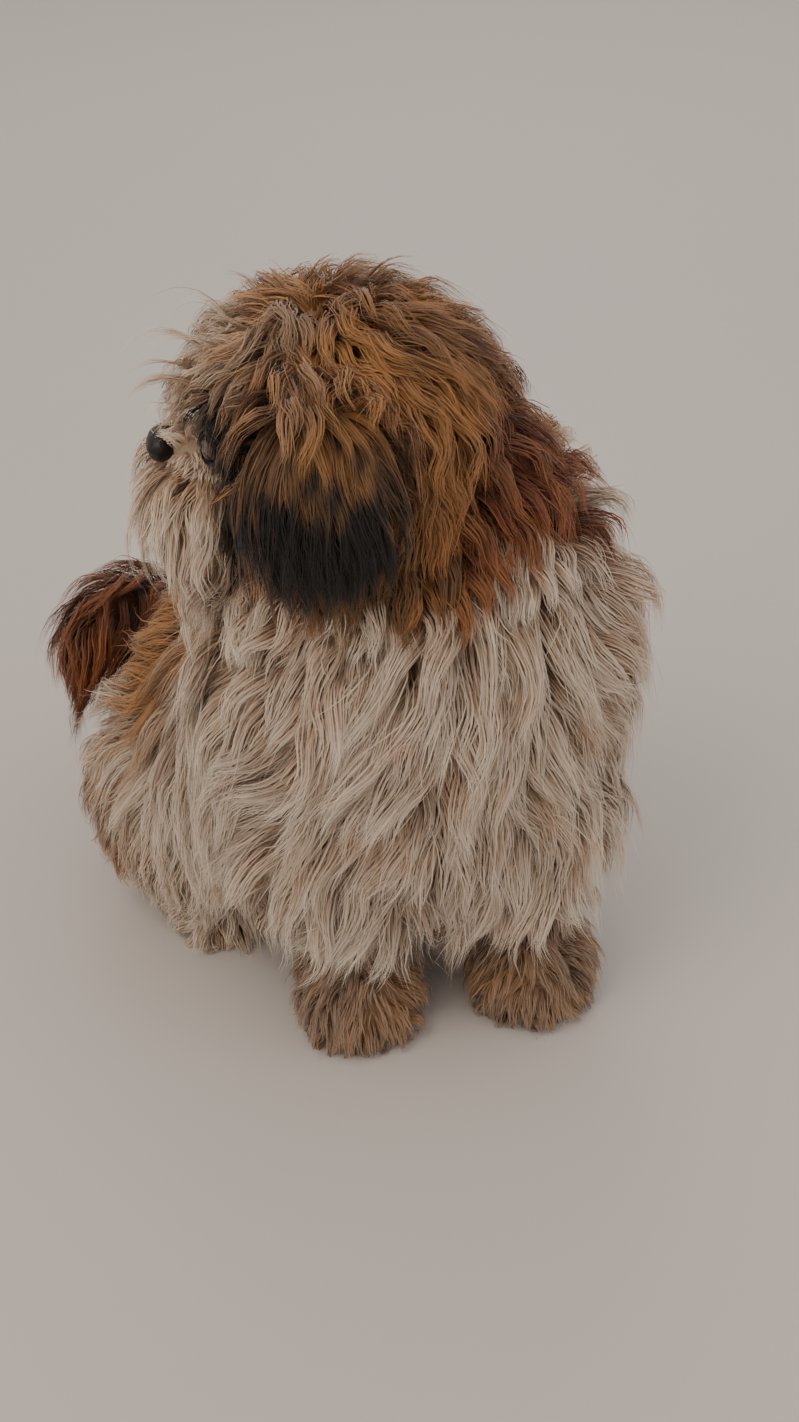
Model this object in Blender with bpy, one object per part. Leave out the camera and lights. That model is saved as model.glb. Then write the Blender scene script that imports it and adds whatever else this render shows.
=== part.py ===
"""A life-size shih tzu, sitting with its chest to the front and its head turned to its right.

Metres, +Z up. While the dog is drawn, X runs to the dog's left, Y to its back, and the floor
under the middle of its front paws is the origin. The last step moves the whole dog so that the
origin lies under the middle of its box.
"""

import math

import bmesh
import bpy
import numpy as np

MODEL = "shih_tzu"
GAP = 0.0003
SHORTEST_EDGE = 0.000002
FLOOR = 0.0

# Trunk: stations down the bent spine from the nape to the seat, as x, y, z, half width, half depth
# and the turn of the hips against the chest in degrees.
TRUNK = (
    (0.026, 0.046, 0.250, 0.056, 0.050, 0.0),
    (0.021, 0.042, 0.214, 0.079, 0.062, 0.0),
    (0.012, 0.040, 0.168, 0.083, 0.070, 2.0),
    (0.004, 0.053, 0.122, 0.085, 0.077, 8.0),
    (-0.010, 0.089, 0.103, 0.085, 0.079, 15.0),
    (-0.028, 0.130, 0.080, 0.083, 0.080, 20.0),
    (-0.045, 0.167, 0.057, 0.068, 0.064, 22.0),
    (-0.056, 0.192, 0.047, 0.046, 0.046, 22.0),
)
TRUNK_END = (-0.064, 0.212, 0.041)
TRUNK_SIDES = 20
RUMP_END = (0.045, 0.024, 0.045)
HIP_TURN = math.radians(22.0)

# Coat of the trunk
BODY_LOCK_LENGTH = 0.064
BODY_LOCK_WIDTH = 0.031
BODY_ROW_STEP = 0.0350
ROOTS_OVER_COLLAR = 0.014
LOWEST_ROOT = 0.018
REAR_FACING = 0.3
CHEST_HEM = 0.045
HEM_HEIGHT = 0.110
HEM_CENTRE = (0.008, 0.046)
HEM_RADII = (0.084, 0.078)
HEM_LOCKS = 17
HEM_LOCK_LENGTH = 0.076
STEEP_UNDERSIDE = -0.30

# Neck and the two seams that bound it
NECK_FROM = (0.027, 0.043, 0.215)
NECK_TO = (-0.004, 0.045, 0.292)
NECK_RADIUS = 0.054
NECK_SIDES = 18
NECK_ROW_STEP = 0.0218
NECK_LOCK_LENGTH = 0.054
NECK_LOCK_WIDTH = 0.024
COLLAR_APEX = (0.027, 0.045, 0.262)
COLLAR_SLOPE = 0.58
NAPE_POINT = (0.030, 0.045, 0.298)
NAPE_NORMAL = (-0.550, 0.0, 0.835)

# Head, in its own axes: forward to the nose, to the dog's left, and up
HEAD_CENTRE = (-0.020, 0.043, 0.292)
HEAD_TURN = math.radians(170.0)
SKULL = (0.059, 0.051, 0.052)
SKULL_BACK = -0.010
SKULL_RISE = 0.003
HEAD_LOCK_LENGTH = 0.046
HEAD_LOCK_WIDTH = 0.0225
HEAD_LOCK_STEP = 0.0195
EYE_RADIUS = 0.0088
EYE_PLACE = (0.0405, 0.0240, 0.008)
LID_THICKNESS = 0.0022
MUZZLE_CENTRE = (0.044, 0.0, -0.014)
MUZZLE = (0.025, 0.027, 0.019)
JAW_CENTRE = (0.038, 0.0, -0.030)
JAW = (0.022, 0.020, 0.012)
BROW_CENTRE = (0.021, 0.0, 0.015)
BROW = (0.029, 0.037, 0.027)
CHEEKS_CENTRE = (0.016, 0.0, -0.014)
CHEEKS = (0.034, 0.042, 0.032)
LIP_PLACE = (0.052, 0.011, -0.017)
LIP = (0.0145, 0.0135, 0.0105)
EYE_LOOK = (0.90, 0.43, 0.0)
LID_OPENING = (0.0090, 0.0078, 0.0062)
LID_OPENING_OUT = 0.0085
MOUTH_HEIGHT = -0.0245
MOUTH_MIDDLE = 0.036
MOUTH_REACH = (0.028, 0.0245)
MOUTH_DEPTH = 0.0065
MOUTH_SLIT = 0.0011
NOSE_CENTRE = (0.0685, 0.0, -0.001)
NOSE = (0.0075, 0.0098, 0.0074)
NOSTRIL_PLACE = (0.0755, 0.0042, -0.0010)
NOSTRIL = (0.0034, 0.0016, 0.0023)
FORELOCKS = 5
FORELOCK_LENGTH = 0.036
FORELOCK_WIDTH = 0.018
MOUSTACHE_HEIGHTS = (-0.006, -0.017, -0.030)
MOUSTACHE_LENGTH = 0.060
BEARD_LOCKS = 4
BEARD_LENGTH = 0.048
BEARD_WIDTH = 0.0195

# Ears, in the head's axes: the flap hangs from its root and bells out over the ruff
EAR_ROOT = (-0.002, 0.049, 0.034)
EAR_TIP = (0.006, 0.069, -0.026)
EAR_HALF_WIDTHS = (0.014, 0.024, 0.027, 0.022, 0.010)
EAR_THICKNESS = 0.0045
EAR_CUP = 0.007
EAR_BELLY = 0.010
EAR_RIBS = 7
EAR_LOCK_LENGTH = 0.042
EAR_LOCK_RISE = 0.0076
EAR_LOCK_WIDTH = 0.0235
EAR_SPACE_CENTRE = (0.004, 0.0710, -0.013)
EAR_SPACE = (0.045, 0.0225, 0.060)
EAR_SPACE_SPLAY = math.radians(12.0)

# Legs
FORE_PAW = {"left": (0.046, -0.012), "right": (-0.039, -0.004)}
FORE_PAW_TURN = {"left": math.radians(-22.0), "right": math.radians(-8.0)}
FORE_SPACE_RADIUS = 0.043
FORE_SPACE_TOP_RADIUS = 0.024
FORE_TOP = 0.064
SHANK_RADIUS = 0.0190
SHANK_BACK = 0.006
SHANK_LOCK_LENGTH = 0.030
SHANK_LOCK_WIDTH = 0.018
SHANK_LOCK_STEP = 0.0250
PAW = (0.027, 0.031, 0.020)
PAW_LOCK_LENGTH = 0.022
PAW_LOCK_WIDTH = 0.015
FORE_LOCK_STEP = 0.0172
HIND_LOCK_STEP = 0.0185
SEAT = (-0.040, 0.148)
THIGH_OUT = 0.077
THIGH_FORWARD = 0.004
THIGH_HEIGHT = 0.058
THIGH = (0.026, 0.047, 0.044)
HIND_FOOT_OUT = 0.071
HIND_FOOT_FORWARD = 0.046
HIND_FOOT = (0.021, 0.042, 0.019)
HIND_ROOM = 0.008
HIND_OUTER = 0.123
HIND_OUTER_DROP = 0.018
HIND_OUTER_ROOM = (0.030, 0.056, 0.056)
THIGH_LOCK_LENGTH = 0.038
THIGH_LOCK_WIDTH = 0.023
THIGH_LOCK_STEP = 0.0255

# Tail: the arc of its core over the hip, then its plume
TAIL = (
    (-0.058, 0.192, 0.060, 0.015),
    (-0.072, 0.216, 0.082, 0.014),
    (-0.090, 0.225, 0.106, 0.013),
    (-0.108, 0.215, 0.123, 0.012),
    (-0.123, 0.198, 0.126, 0.010),
    (-0.133, 0.186, 0.117, 0.007),
)
TAIL_SIDES = 10
TAIL_LOCKS = 14
TAIL_CURL_MIDDLE = (-0.098, 0.190, 0.085)
TAIL_LOCK_LENGTH = 0.060
TAIL_LOCK_WIDTH = 0.023
TAIL_SPACE_CENTRE = (-0.113, 0.207, 0.105)
TAIL_SPACE = (0.057, 0.053, 0.052)
TAIL_SEAM_POINT = (-0.0755, 0.2092, 0.0808)
TAIL_SEAM_NORMAL = (-0.48, 0.42, 0.77)

LOCK_FLATNESS = 0.20
LOCK_SINK = 0.010

# Room left between one piece's locks and the next piece's room
CLEARANCE = 0.002

# Colour, roughness
FINISH = {
    "torso": ((0.55, 0.47, 0.38), 0.75),
    "neck": ((0.24, 0.10, 0.04), 0.75),
    "head": ((0.28, 0.15, 0.07), 0.75),
    "ear": ((0.09, 0.055, 0.04), 0.75),
    "eye": ((0.012, 0.007, 0.005), 0.12),
    "nose": ((0.018, 0.014, 0.013), 0.38),
    "foreleg": ((0.42, 0.32, 0.23), 0.75),
    "hindleg": ((0.50, 0.42, 0.33), 0.75),
    "tail": ((0.13, 0.045, 0.02), 0.75),
}

UP = np.array((0.0, 0.0, 1.0))
TAILWARD = np.array((-math.sin(HIP_TURN), math.cos(HIP_TURN), 0.0))
DOG_LEFT = np.array((math.cos(HIP_TURN), math.sin(HIP_TURN), 0.0))
HEAD_AXES = np.array((
    (math.cos(HEAD_TURN), math.sin(HEAD_TURN), 0.0),
    (-math.sin(HEAD_TURN), math.cos(HEAD_TURN), 0.0),
    (0.0, 0.0, 1.0),
))
SIGN = {"left": 1.0, "right": -1.0}
chance = np.random.default_rng(2209)


def unit(vector):
    return vector / max(np.linalg.norm(vector), 1e-9)


def along_surface(direction, normal):
    """The part of a direction that lies along a surface."""
    return unit(direction - np.dot(direction, normal) * normal)


def from_head(point):
    """A point given forward, left and up from the middle of the head."""
    return np.array(HEAD_CENTRE) + np.array(point) @ HEAD_AXES


def mirrored(point, sign):
    """A point of the head's left half, on the side that the sign gives."""
    return np.array(point) * (1.0, sign, 1.0)


def clear_scene():
    for thing in list(bpy.data.objects):
        bpy.data.objects.remove(thing, do_unlink=True)


def collection(name):
    group = bpy.data.collections.new(name)
    bpy.context.scene.collection.children.link(group)
    return group


def object_from(mesh_editor, name, group):
    """An object in a collection from finished bmesh data, with its faces turned outwards."""
    bmesh.ops.recalc_face_normals(mesh_editor, faces=mesh_editor.faces[:])
    if mesh_editor.calc_volume(signed=True) < 0.0:
        bmesh.ops.reverse_faces(mesh_editor, faces=mesh_editor.faces[:])
    mesh = bpy.data.meshes.new(name)
    mesh_editor.to_mesh(mesh)
    mesh_editor.free()
    thing = bpy.data.objects.new(name, mesh)
    group.objects.link(thing)
    return thing


def loft(rings, name, group, tip=None):
    """A closed solid over rings of like count; it ends in a point where a tip is given."""
    editor = bmesh.new()
    loops = [[editor.verts.new(point) for point in ring] for ring in rings]
    count = len(loops[0])
    for low, high in zip(loops, loops[1:]):
        for i in range(count):
            j = (i + 1) % count
            editor.faces.new((low[i], low[j], high[j]))
            editor.faces.new((low[i], high[j], high[i]))
    editor.faces.new(loops[0][::-1])
    if tip is None:
        editor.faces.new(loops[-1])
    else:
        end = editor.verts.new(tip)
        for i in range(count):
            editor.faces.new((loops[-1][i], loops[-1][(i + 1) % count], end))
    bmesh.ops.triangulate(editor, faces=[f for f in editor.faces if len(f.verts) > 3])
    return object_from(editor, name, group)


def ellipsoid(centre, radii, axes, name, group, segments=20):
    """An ellipsoid whose radii run along the given axes."""
    editor = bmesh.new()
    bmesh.ops.create_uvsphere(editor, u_segments=segments, v_segments=segments // 2 + 1, radius=1.0)
    for vertex in editor.verts:
        vertex.co = np.array(centre) + (np.array(vertex.co) * np.array(radii)) @ axes
    return object_from(editor, name, group)


def box(low, high, name, group):
    editor = bmesh.new()
    bmesh.ops.create_cube(editor, size=1.0)
    low = np.array(low)
    high = np.array(high)
    for vertex in editor.verts:
        vertex.co = (low + high) / 2 + np.array(vertex.co) * (high - low)
    return object_from(editor, name, group)


def half_space(point, normal, shift, name, group):
    """A large block on the far side of a plane, its near face moved along the normal by shift."""
    normal = unit(np.array(normal))
    side = unit(np.cross(normal, UP if abs(normal[2]) < 0.9 else np.array((1.0, 0.0, 0.0))))
    axes = np.array((side, np.cross(normal, side), normal))
    reach = 0.5
    editor = bmesh.new()
    bmesh.ops.create_cube(editor, size=2.0 * reach)
    start = np.array(point) + normal * (reach + shift)
    for vertex in editor.verts:
        vertex.co = start + np.array(vertex.co) @ axes
    return object_from(editor, name, group)


def collar_cone(shift, name, group):
    """The cone under the ruff, apex up: the trunk lies inside it and the neck on top."""
    reach = 0.30
    editor = bmesh.new()
    bmesh.ops.create_cone(editor, cap_ends=True, segments=28, radius1=reach, radius2=0.0,
                          depth=reach * COLLAR_SLOPE)
    middle = np.array(COLLAR_APEX) + UP * (shift - reach * COLLAR_SLOPE / 2)
    for vertex in editor.verts:
        vertex.co = middle + np.array(vertex.co)
    bottom = min(v.co.z for v in editor.verts)
    for vertex in editor.verts:
        if vertex.co.z < bottom + GAP:
            vertex.co.z = bottom
    lowest = [f for f in editor.faces if len(f.verts) > 4]
    moved = bmesh.ops.extrude_face_region(editor, geom=lowest)
    for vertex in moved["geom"]:
        if isinstance(vertex, bmesh.types.BMVert):
            vertex.co.z = -0.1
    bmesh.ops.delete(editor, geom=lowest, context="FACES")
    return object_from(editor, name, group)


def cone(centre, low_radius, top_radius, low, high, name, group):
    editor = bmesh.new()
    bmesh.ops.create_cone(editor, cap_ends=True, segments=20, radius1=low_radius, radius2=top_radius,
                          depth=high - low)
    for vertex in editor.verts:
        vertex.co = np.array((centre[0], centre[1], (low + high) / 2)) + np.array(vertex.co)
    return object_from(editor, name, group)


def fore_room(side, grow, name, group):
    """The room of a foreleg: wide at the paw and narrow where it goes up into the chest's coat."""
    taper = (FORE_SPACE_RADIUS - FORE_SPACE_TOP_RADIUS) / FORE_TOP
    below = 0.02
    return cone(FORE_PAW[side], FORE_SPACE_RADIUS + taper * below + grow,
                FORE_SPACE_TOP_RADIUS + grow, -below, FORE_TOP + grow, name, group)


def apply_boolean(thing, operation, other):
    """Join to, cut by or keep inside an object or every object of a collection, which then goes."""
    if isinstance(other, bpy.types.Collection) and not other.objects:
        return
    step = thing.modifiers.new("shape", "BOOLEAN")
    step.operation = operation
    step.solver = "MANIFOLD"
    if isinstance(other, bpy.types.Collection):
        step.operand_type = "COLLECTION"
        step.collection = other
        used = list(other.objects)
    else:
        step.object = other
        used = [other]
    bpy.context.view_layer.update()
    result = bpy.data.meshes.new_from_object(thing.evaluated_get(bpy.context.evaluated_depsgraph_get()))
    thing.modifiers.clear()
    thing.data = result
    for piece in used:
        bpy.data.objects.remove(piece, do_unlink=True)


def keep_largest(thing):
    """Keep a node's largest closed surface, without the scraps that a cut leaves."""
    editor = bmesh.new()
    editor.from_mesh(thing.data)
    bmesh.ops.dissolve_degenerate(editor, edges=editor.edges[:], dist=SHORTEST_EDGE)
    bmesh.ops.triangulate(editor, faces=editor.faces[:])
    unseen = set(editor.faces)
    shells = []
    while unseen:
        shell = [unseen.pop()]
        for face in shell:
            for edge in face.edges:
                for neighbour in edge.link_faces:
                    if neighbour in unseen:
                        unseen.remove(neighbour)
                        shell.append(neighbour)
        shells.append(shell)
    shells.sort(key=lambda shell: sum(f.calc_area() for f in shell))
    scraps = [f for shell in shells[:-1] for f in shell]
    bmesh.ops.delete(editor, geom=scraps, context="FACES")
    editor.to_mesh(thing.data)
    editor.free()


def cut_away(thing, solids):
    """Cut solids out of a node one after another."""
    for solid in solids:
        apply_boolean(thing, "DIFFERENCE", solid)


class Space:
    """A room that one node keeps to and the others keep out of."""

    def __init__(self, centre, radii, axes):
        self.centre = np.array(centre)
        self.radii = np.array(radii)
        self.axes = np.array(axes)

    def holds(self, point, margin=0.0):
        local = (point - self.centre) @ self.axes.T
        return float(np.sum((local / (self.radii + margin)) ** 2)) < 1.0

    def solid(self, grow, name, group):
        return ellipsoid(self.centre, self.radii + grow, self.axes, name, group, segments=22)


def ear_space(side):
    sign = SIGN[side]
    centre = from_head((EAR_SPACE_CENTRE[0], sign * EAR_SPACE_CENTRE[1], EAR_SPACE_CENTRE[2]))
    outward = sign * HEAD_AXES[1]
    down = -UP * math.cos(EAR_SPACE_SPLAY) + outward * math.sin(EAR_SPACE_SPLAY)
    out = unit(np.cross(HEAD_AXES[0], down)) * sign
    return Space(centre, EAR_SPACE, (HEAD_AXES[0], out, down))


def hind_centre(side):
    sign = SIGN[side]
    seat = np.array((SEAT[0], SEAT[1], 0.0))
    thigh = seat + sign * THIGH_OUT * DOG_LEFT - THIGH_FORWARD * TAILWARD
    foot = seat + sign * HIND_FOOT_OUT * DOG_LEFT - HIND_FOOT_FORWARD * TAILWARD
    return thigh + UP * THIGH_HEIGHT, foot + UP * (HIND_FOOT[2] - 0.003)


def hind_spaces(side):
    """The rooms of a hind leg: round its thigh, round its foot and out past the hip."""
    sign = SIGN[side]
    thigh, foot = hind_centre(side)
    axes = (DOG_LEFT, TAILWARD, UP)
    return (Space(thigh, np.array(THIGH) + HIND_ROOM, axes),
            Space(foot, np.array(HIND_FOOT) + HIND_ROOM, axes),
            Space(thigh + sign * (HIND_OUTER - THIGH_OUT) * DOG_LEFT - UP * HIND_OUTER_DROP,
                  HIND_OUTER_ROOM, axes))


EARS = {side: ear_space(side) for side in ("left", "right")}
HINDS = {side: hind_spaces(side) for side in ("left", "right")}
TAIL_ROOM = Space(TAIL_SPACE_CENTRE, TAIL_SPACE, np.identity(3))


def above_nape(point, margin=0.0):
    return float(np.dot(point - np.array(NAPE_POINT), unit(np.array(NAPE_NORMAL)))) > margin


def above_collar(point, margin=0.0):
    reach = math.hypot(point[0] - COLLAR_APEX[0], point[1] - COLLAR_APEX[1])
    return point[2] > COLLAR_APEX[2] - reach * COLLAR_SLOPE + margin


def beyond_tail_seam(point, margin=0.0):
    seam = unit(np.array(TAIL_SEAM_NORMAL))
    return float(np.dot(point - np.array(TAIL_SEAM_POINT), seam)) > margin


def over_fore_paw(point, margin=0.0):
    taper = (FORE_SPACE_RADIUS - FORE_SPACE_TOP_RADIUS) / FORE_TOP
    reach = FORE_SPACE_RADIUS - taper * point[2] + margin
    return any(math.hypot(point[0] - x, point[1] - y) < reach and point[2] < FORE_TOP + margin
               for x, y in FORE_PAW.values())


def trunk_may(point, over_collar=-CLEARANCE):
    """True where the trunk's coat may lie, clear of every other piece."""
    margin = CLEARANCE
    hem = CHEST_HEM if point[1] < 0.0 else 0.006
    return (point[2] > hem and not above_collar(point, over_collar) and not above_nape(point, -margin)
            and not over_fore_paw(point, margin) and not TAIL_ROOM.holds(point, margin)
            and not any(room.holds(point, margin) for rooms in HINDS.values() for room in rooms)
            and not any(room.holds(point, margin) for room in EARS.values()))


def tail_may(point):
    return (beyond_tail_seam(point, 0.001) and TAIL_ROOM.holds(point, -0.001)
            and not any(room.holds(point, CLEARANCE) for room in HINDS["right"]))


def neck_may(point):
    return (above_collar(point, CLEARANCE) and not above_nape(point, -CLEARANCE)
            and not any(room.holds(point, CLEARANCE) for room in EARS.values()))


def head_may(point):
    local = (point - np.array(HEAD_CENTRE)) @ HEAD_AXES.T
    sight = local[0] > 0.040 and abs(local[1]) < 0.036 and -0.004 < local[2] < 0.022
    return (above_nape(point, CLEARANCE) and not sight
            and not any(room.holds(point, CLEARANCE) for room in EARS.values()))


def lock_line(root, normal, lie, length, lift, curl, steps):
    """The middle line of a lock: out of the skin, then over along the lie with a slow wave."""
    side = unit(np.cross(lie, normal))
    points = [root - normal * LOCK_SINK]
    ways = []
    step = (length + LOCK_SINK) / steps
    for i in range(steps):
        share = (i + 0.3) / steps
        rise = lift * (1.0 - share) ** 1.3 - 0.22 * share
        way = unit(lie + normal * rise + side * curl * math.sin(math.pi * 1.6 * share))
        ways.append(way)
        points.append(points[-1] + way * step)
    ways.append(ways[-1])
    return points, ways, side


def add_lock(group, root, normal, lie, length, width, allowed, lift=1.0, curl=0.3, steps=3):
    """One flat, tapered lock; it is laid flatter or cut shorter until it lies where it may."""
    reach = width * 0.40
    for shrink, share in [(s, r) for s in (1.0, 0.85, 0.7, 0.55, 0.42) for r in (1.0, 0.55, 1.6, 0.2)]:
        points, ways, side = lock_line(root, normal, lie, length * shrink, lift * share, curl, steps)
        if all(allowed(p) and allowed(p + side * reach) and allowed(p - side * reach)
               for p in points[2:]):
            break
    else:
        return False
    roll = chance.uniform(-0.30, 0.30)
    shares = np.linspace(0.0, 1.0, steps + 1)
    rings = []
    for point, way, share in zip(points[:-1], ways, shares):
        across = unit(side - np.dot(side, way) * way)
        out = np.cross(way, across)
        across, out = (across * math.cos(roll) + out * math.sin(roll),
                       out * math.cos(roll) - across * math.sin(roll))
        half = width / 2 * (0.62 + 1.15 * share - 1.25 * share ** 2)
        thick = width * LOCK_FLATNESS * (1.0 - 0.35 * share)
        rings.append([point + across * half, point + out * thick, point - across * half])
    loft(rings, "lock", group, tip=points[-1])
    return True


def stations_to_rings(stations, sides):
    """Rings of a bent body: centre, half width, half depth and turn at each station."""
    centres = np.array([s[:3] for s in stations])
    rings = []
    for i, station in enumerate(stations):
        ahead = centres[min(i + 1, len(centres) - 1)] - centres[max(i - 1, 0)]
        way = unit(ahead)
        turn = math.radians(station[5])
        wide = along_surface(np.array((math.cos(turn), math.sin(turn), 0.0)), way)
        deep = np.cross(wide, way)
        angles = [2 * math.pi * k / sides for k in range(sides)]
        rings.append([centres[i] + station[3] * math.cos(a) * wide + station[4] * math.sin(a) * deep
                      for a in angles])
    return rings


def smooth_stations(stations, fine):
    """Stations read from a smooth curve through the given ones."""
    rows = np.array(stations, dtype=float)
    count = len(rows)
    result = []
    for i in range(count - 1):
        before = rows[max(i - 1, 0)]
        after = rows[min(i + 2, count - 1)]
        for k in range(fine):
            t = k / fine
            a = 2 * rows[i]
            b = rows[i + 1] - before
            c = 2 * before - 5 * rows[i] + 4 * rows[i + 1] - after
            d = -before + 3 * rows[i] - 3 * rows[i + 1] + after
            result.append(0.5 * (a + b * t + c * t * t + d * t ** 3))
    result.append(rows[-1])
    return result


def surface_points(rings, spacing, start=0.5):
    """Points with normals spread over a lofted body, each row set half a step off the last."""
    rings = np.array(rings)
    middles = rings.mean(axis=1)
    walked = np.concatenate(([0.0], np.cumsum(np.linalg.norm(np.diff(middles, axis=0), axis=1))))
    found = []
    for row in range(int(walked[-1] / spacing)):
        place = (row + start) * spacing
        k = min(int(np.searchsorted(walked, place)) - 1, len(rings) - 2)
        t = (place - walked[k]) / (walked[k + 1] - walked[k])
        ring = rings[k] * (1 - t) + rings[k + 1] * t
        around = np.linalg.norm(np.roll(ring, -1, axis=0) - ring, axis=1).sum()
        count = max(int(around / spacing), 3)
        for i in range(count):
            angle = (i + 0.5 * (row % 2) + chance.uniform(-0.22, 0.22)) / count * len(ring)
            j = int(angle) % len(ring)
            share = angle - int(angle)
            point = ring[j] * (1 - share) + ring[(j + 1) % len(ring)] * share
            tangent = ring[(j + 1) % len(ring)] - ring[j]
            onward = rings[k + 1][j] - rings[k][j]
            normal = unit(np.cross(tangent, onward))
            if np.dot(normal, point - ring.mean(axis=0)) < 0:
                normal = -normal
            found.append((point, normal))
    return found


def spread_on_ellipsoid(centre, radii, axes, spacing):
    """Points with normals spread evenly over an ellipsoid along a golden spiral."""
    radii = np.array(radii)
    p = 1.6
    a, b, c = radii
    area = 4 * math.pi * (((a * b) ** p + (a * c) ** p + (b * c) ** p) / 3) ** (1 / p)
    count = int(area / spacing ** 2)
    found = []
    for i in range(count):
        height = 1 - 2 * (i + 0.5) / count
        ring = math.sqrt(1 - height * height)
        angle = i * math.pi * (3 - math.sqrt(5)) + chance.uniform(-0.1, 0.1)
        ball = np.array((ring * math.cos(angle), ring * math.sin(angle), height))
        point = np.array(centre) + (ball * radii) @ axes
        found.append((point, unit((ball / radii) @ axes)))
    return found


def turned(direction, normal, spread):
    """A direction along the surface, swung a little to one side by chance."""
    angle = chance.uniform(-spread, spread)
    return unit(direction * math.cos(angle) + np.cross(normal, direction) * math.sin(angle))


def varied(size, share=0.18):
    return size * chance.uniform(1 - share, 1 + share)


def make_torso(nodes, work):
    rings = stations_to_rings(smooth_stations(TRUNK, 2), TRUNK_SIDES)
    torso = loft(rings, "torso", nodes, tip=TRUNK_END)
    for point, normal in surface_points(rings, BODY_ROW_STEP, start=0.08):
        if point[2] < LOWEST_ROOT or normal[2] < STEEP_UNDERSIDE:
            continue
        if not trunk_may(point, ROOTS_OVER_COLLAR):
            continue
        behind = min(max((point[1] - 0.07) / 0.06, 0.0), 1.0)
        fall = -UP + TAILWARD * 0.75 * behind + normal * 0.2
        if point[1] < 0.03:
            fall = fall + np.array((point[0] - 0.012, 0.0, 0.0)) * 4.0
        lie = turned(along_surface(fall, normal), normal, 0.30)
        length = varied(BODY_LOCK_LENGTH)
        width = varied(BODY_LOCK_WIDTH)
        add_lock(work, point, normal, lie, length, width, trunk_may, lift=1.25,
                 curl=chance.uniform(-0.5, 0.5))
    rump = (DOG_LEFT, TAILWARD, UP)
    for point, normal in spread_on_ellipsoid(TRUNK[-1][:3], RUMP_END, rump, BODY_ROW_STEP):
        if np.dot(normal, TAILWARD) < REAR_FACING or point[2] < LOWEST_ROOT or not trunk_may(point):
            continue
        lie = turned(along_surface(-UP, normal), normal, 0.3)
        add_lock(work, point, normal, lie, varied(BODY_LOCK_LENGTH), varied(BODY_LOCK_WIDTH),
                 trunk_may, lift=1.0, curl=chance.uniform(-0.4, 0.4))
    for k in range(HEM_LOCKS):
        angle = math.pi * (1.04 + 0.92 * k / (HEM_LOCKS - 1))
        out = unit(np.array((math.cos(angle), math.sin(angle), -0.1)))
        point = np.array((HEM_CENTRE[0] + HEM_RADII[0] * math.cos(angle),
                          HEM_CENTRE[1] + HEM_RADII[1] * math.sin(angle),
                          HEM_HEIGHT + chance.uniform(-0.006, 0.006)))
        lie = turned(along_surface(-UP, out), out, 0.12)
        add_lock(work, point - out * 0.004, out, lie, varied(HEM_LOCK_LENGTH, 0.12), varied(BODY_LOCK_WIDTH),
                 trunk_may, lift=1.5, curl=chance.uniform(-0.3, 0.3), steps=4)
    return torso


def make_neck(nodes, work):
    start = np.array(NECK_FROM)
    end = np.array(NECK_TO)
    stations = [tuple(start + (end - start) * t) + (NECK_RADIUS, NECK_RADIUS, 0.0)
                for t in (-0.25, 0.2, 0.7, 1.3)]
    rings = stations_to_rings(stations, NECK_SIDES)
    neck = loft(rings, "neck", nodes)
    for point, normal in surface_points(rings, NECK_ROW_STEP):
        if not neck_may(point):
            continue
        lie = turned(along_surface(-UP, normal), normal, 0.3)
        add_lock(work, point, normal, lie, varied(NECK_LOCK_LENGTH), varied(NECK_LOCK_WIDTH),
                 neck_may, lift=1.6, curl=chance.uniform(-0.4, 0.4))
    return neck


def head_lie(local, normal):
    """How the hair of the head falls: from the parting to both sides, back, and off the muzzle."""
    forward, left, up = local
    fall = -0.9 * UP
    if up > 0.0:
        fall = fall + HEAD_AXES[1] * math.copysign(1.1, left if abs(left) > 1e-4 else 1.0)
    fall = fall - HEAD_AXES[0] * (0.45 if forward < 0.02 else -0.10)
    return along_surface(fall, normal)


def make_head(nodes, work):
    skull_centre = from_head((SKULL_BACK, 0.0, SKULL_RISE))
    head = ellipsoid(skull_centre, SKULL, HEAD_AXES, "head", nodes, segments=20)
    bumps = [("muzzle", MUZZLE_CENTRE, MUZZLE), ("jaw", JAW_CENTRE, JAW),
             ("brow", BROW_CENTRE, BROW), ("cheeks", CHEEKS_CENTRE, CHEEKS)]
    lid = EYE_RADIUS + GAP + LID_THICKNESS
    for sign in SIGN.values():
        bumps.append(("lip", mirrored(LIP_PLACE, sign), LIP))
        bumps.append(("lids", mirrored(EYE_PLACE, sign), (lid, lid, lid)))
    for name, place, radii in bumps:
        ellipsoid(from_head(place), radii, HEAD_AXES, name, work, segments=12)
    for point, normal in spread_on_ellipsoid(skull_centre, SKULL, HEAD_AXES, HEAD_LOCK_STEP):
        local = (point - np.array(HEAD_CENTRE)) @ HEAD_AXES.T
        if not head_may(point) or (local[0] > 0.026 and local[2] < 0.018 and abs(local[1]) < 0.032):
            continue
        lie = turned(head_lie(local, normal), normal, 0.25)
        add_lock(work, point, normal, lie, varied(HEAD_LOCK_LENGTH), varied(HEAD_LOCK_WIDTH),
                 head_may, lift=1.25, curl=chance.uniform(-0.4, 0.4))
    add_beard(work)
    return head


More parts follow.
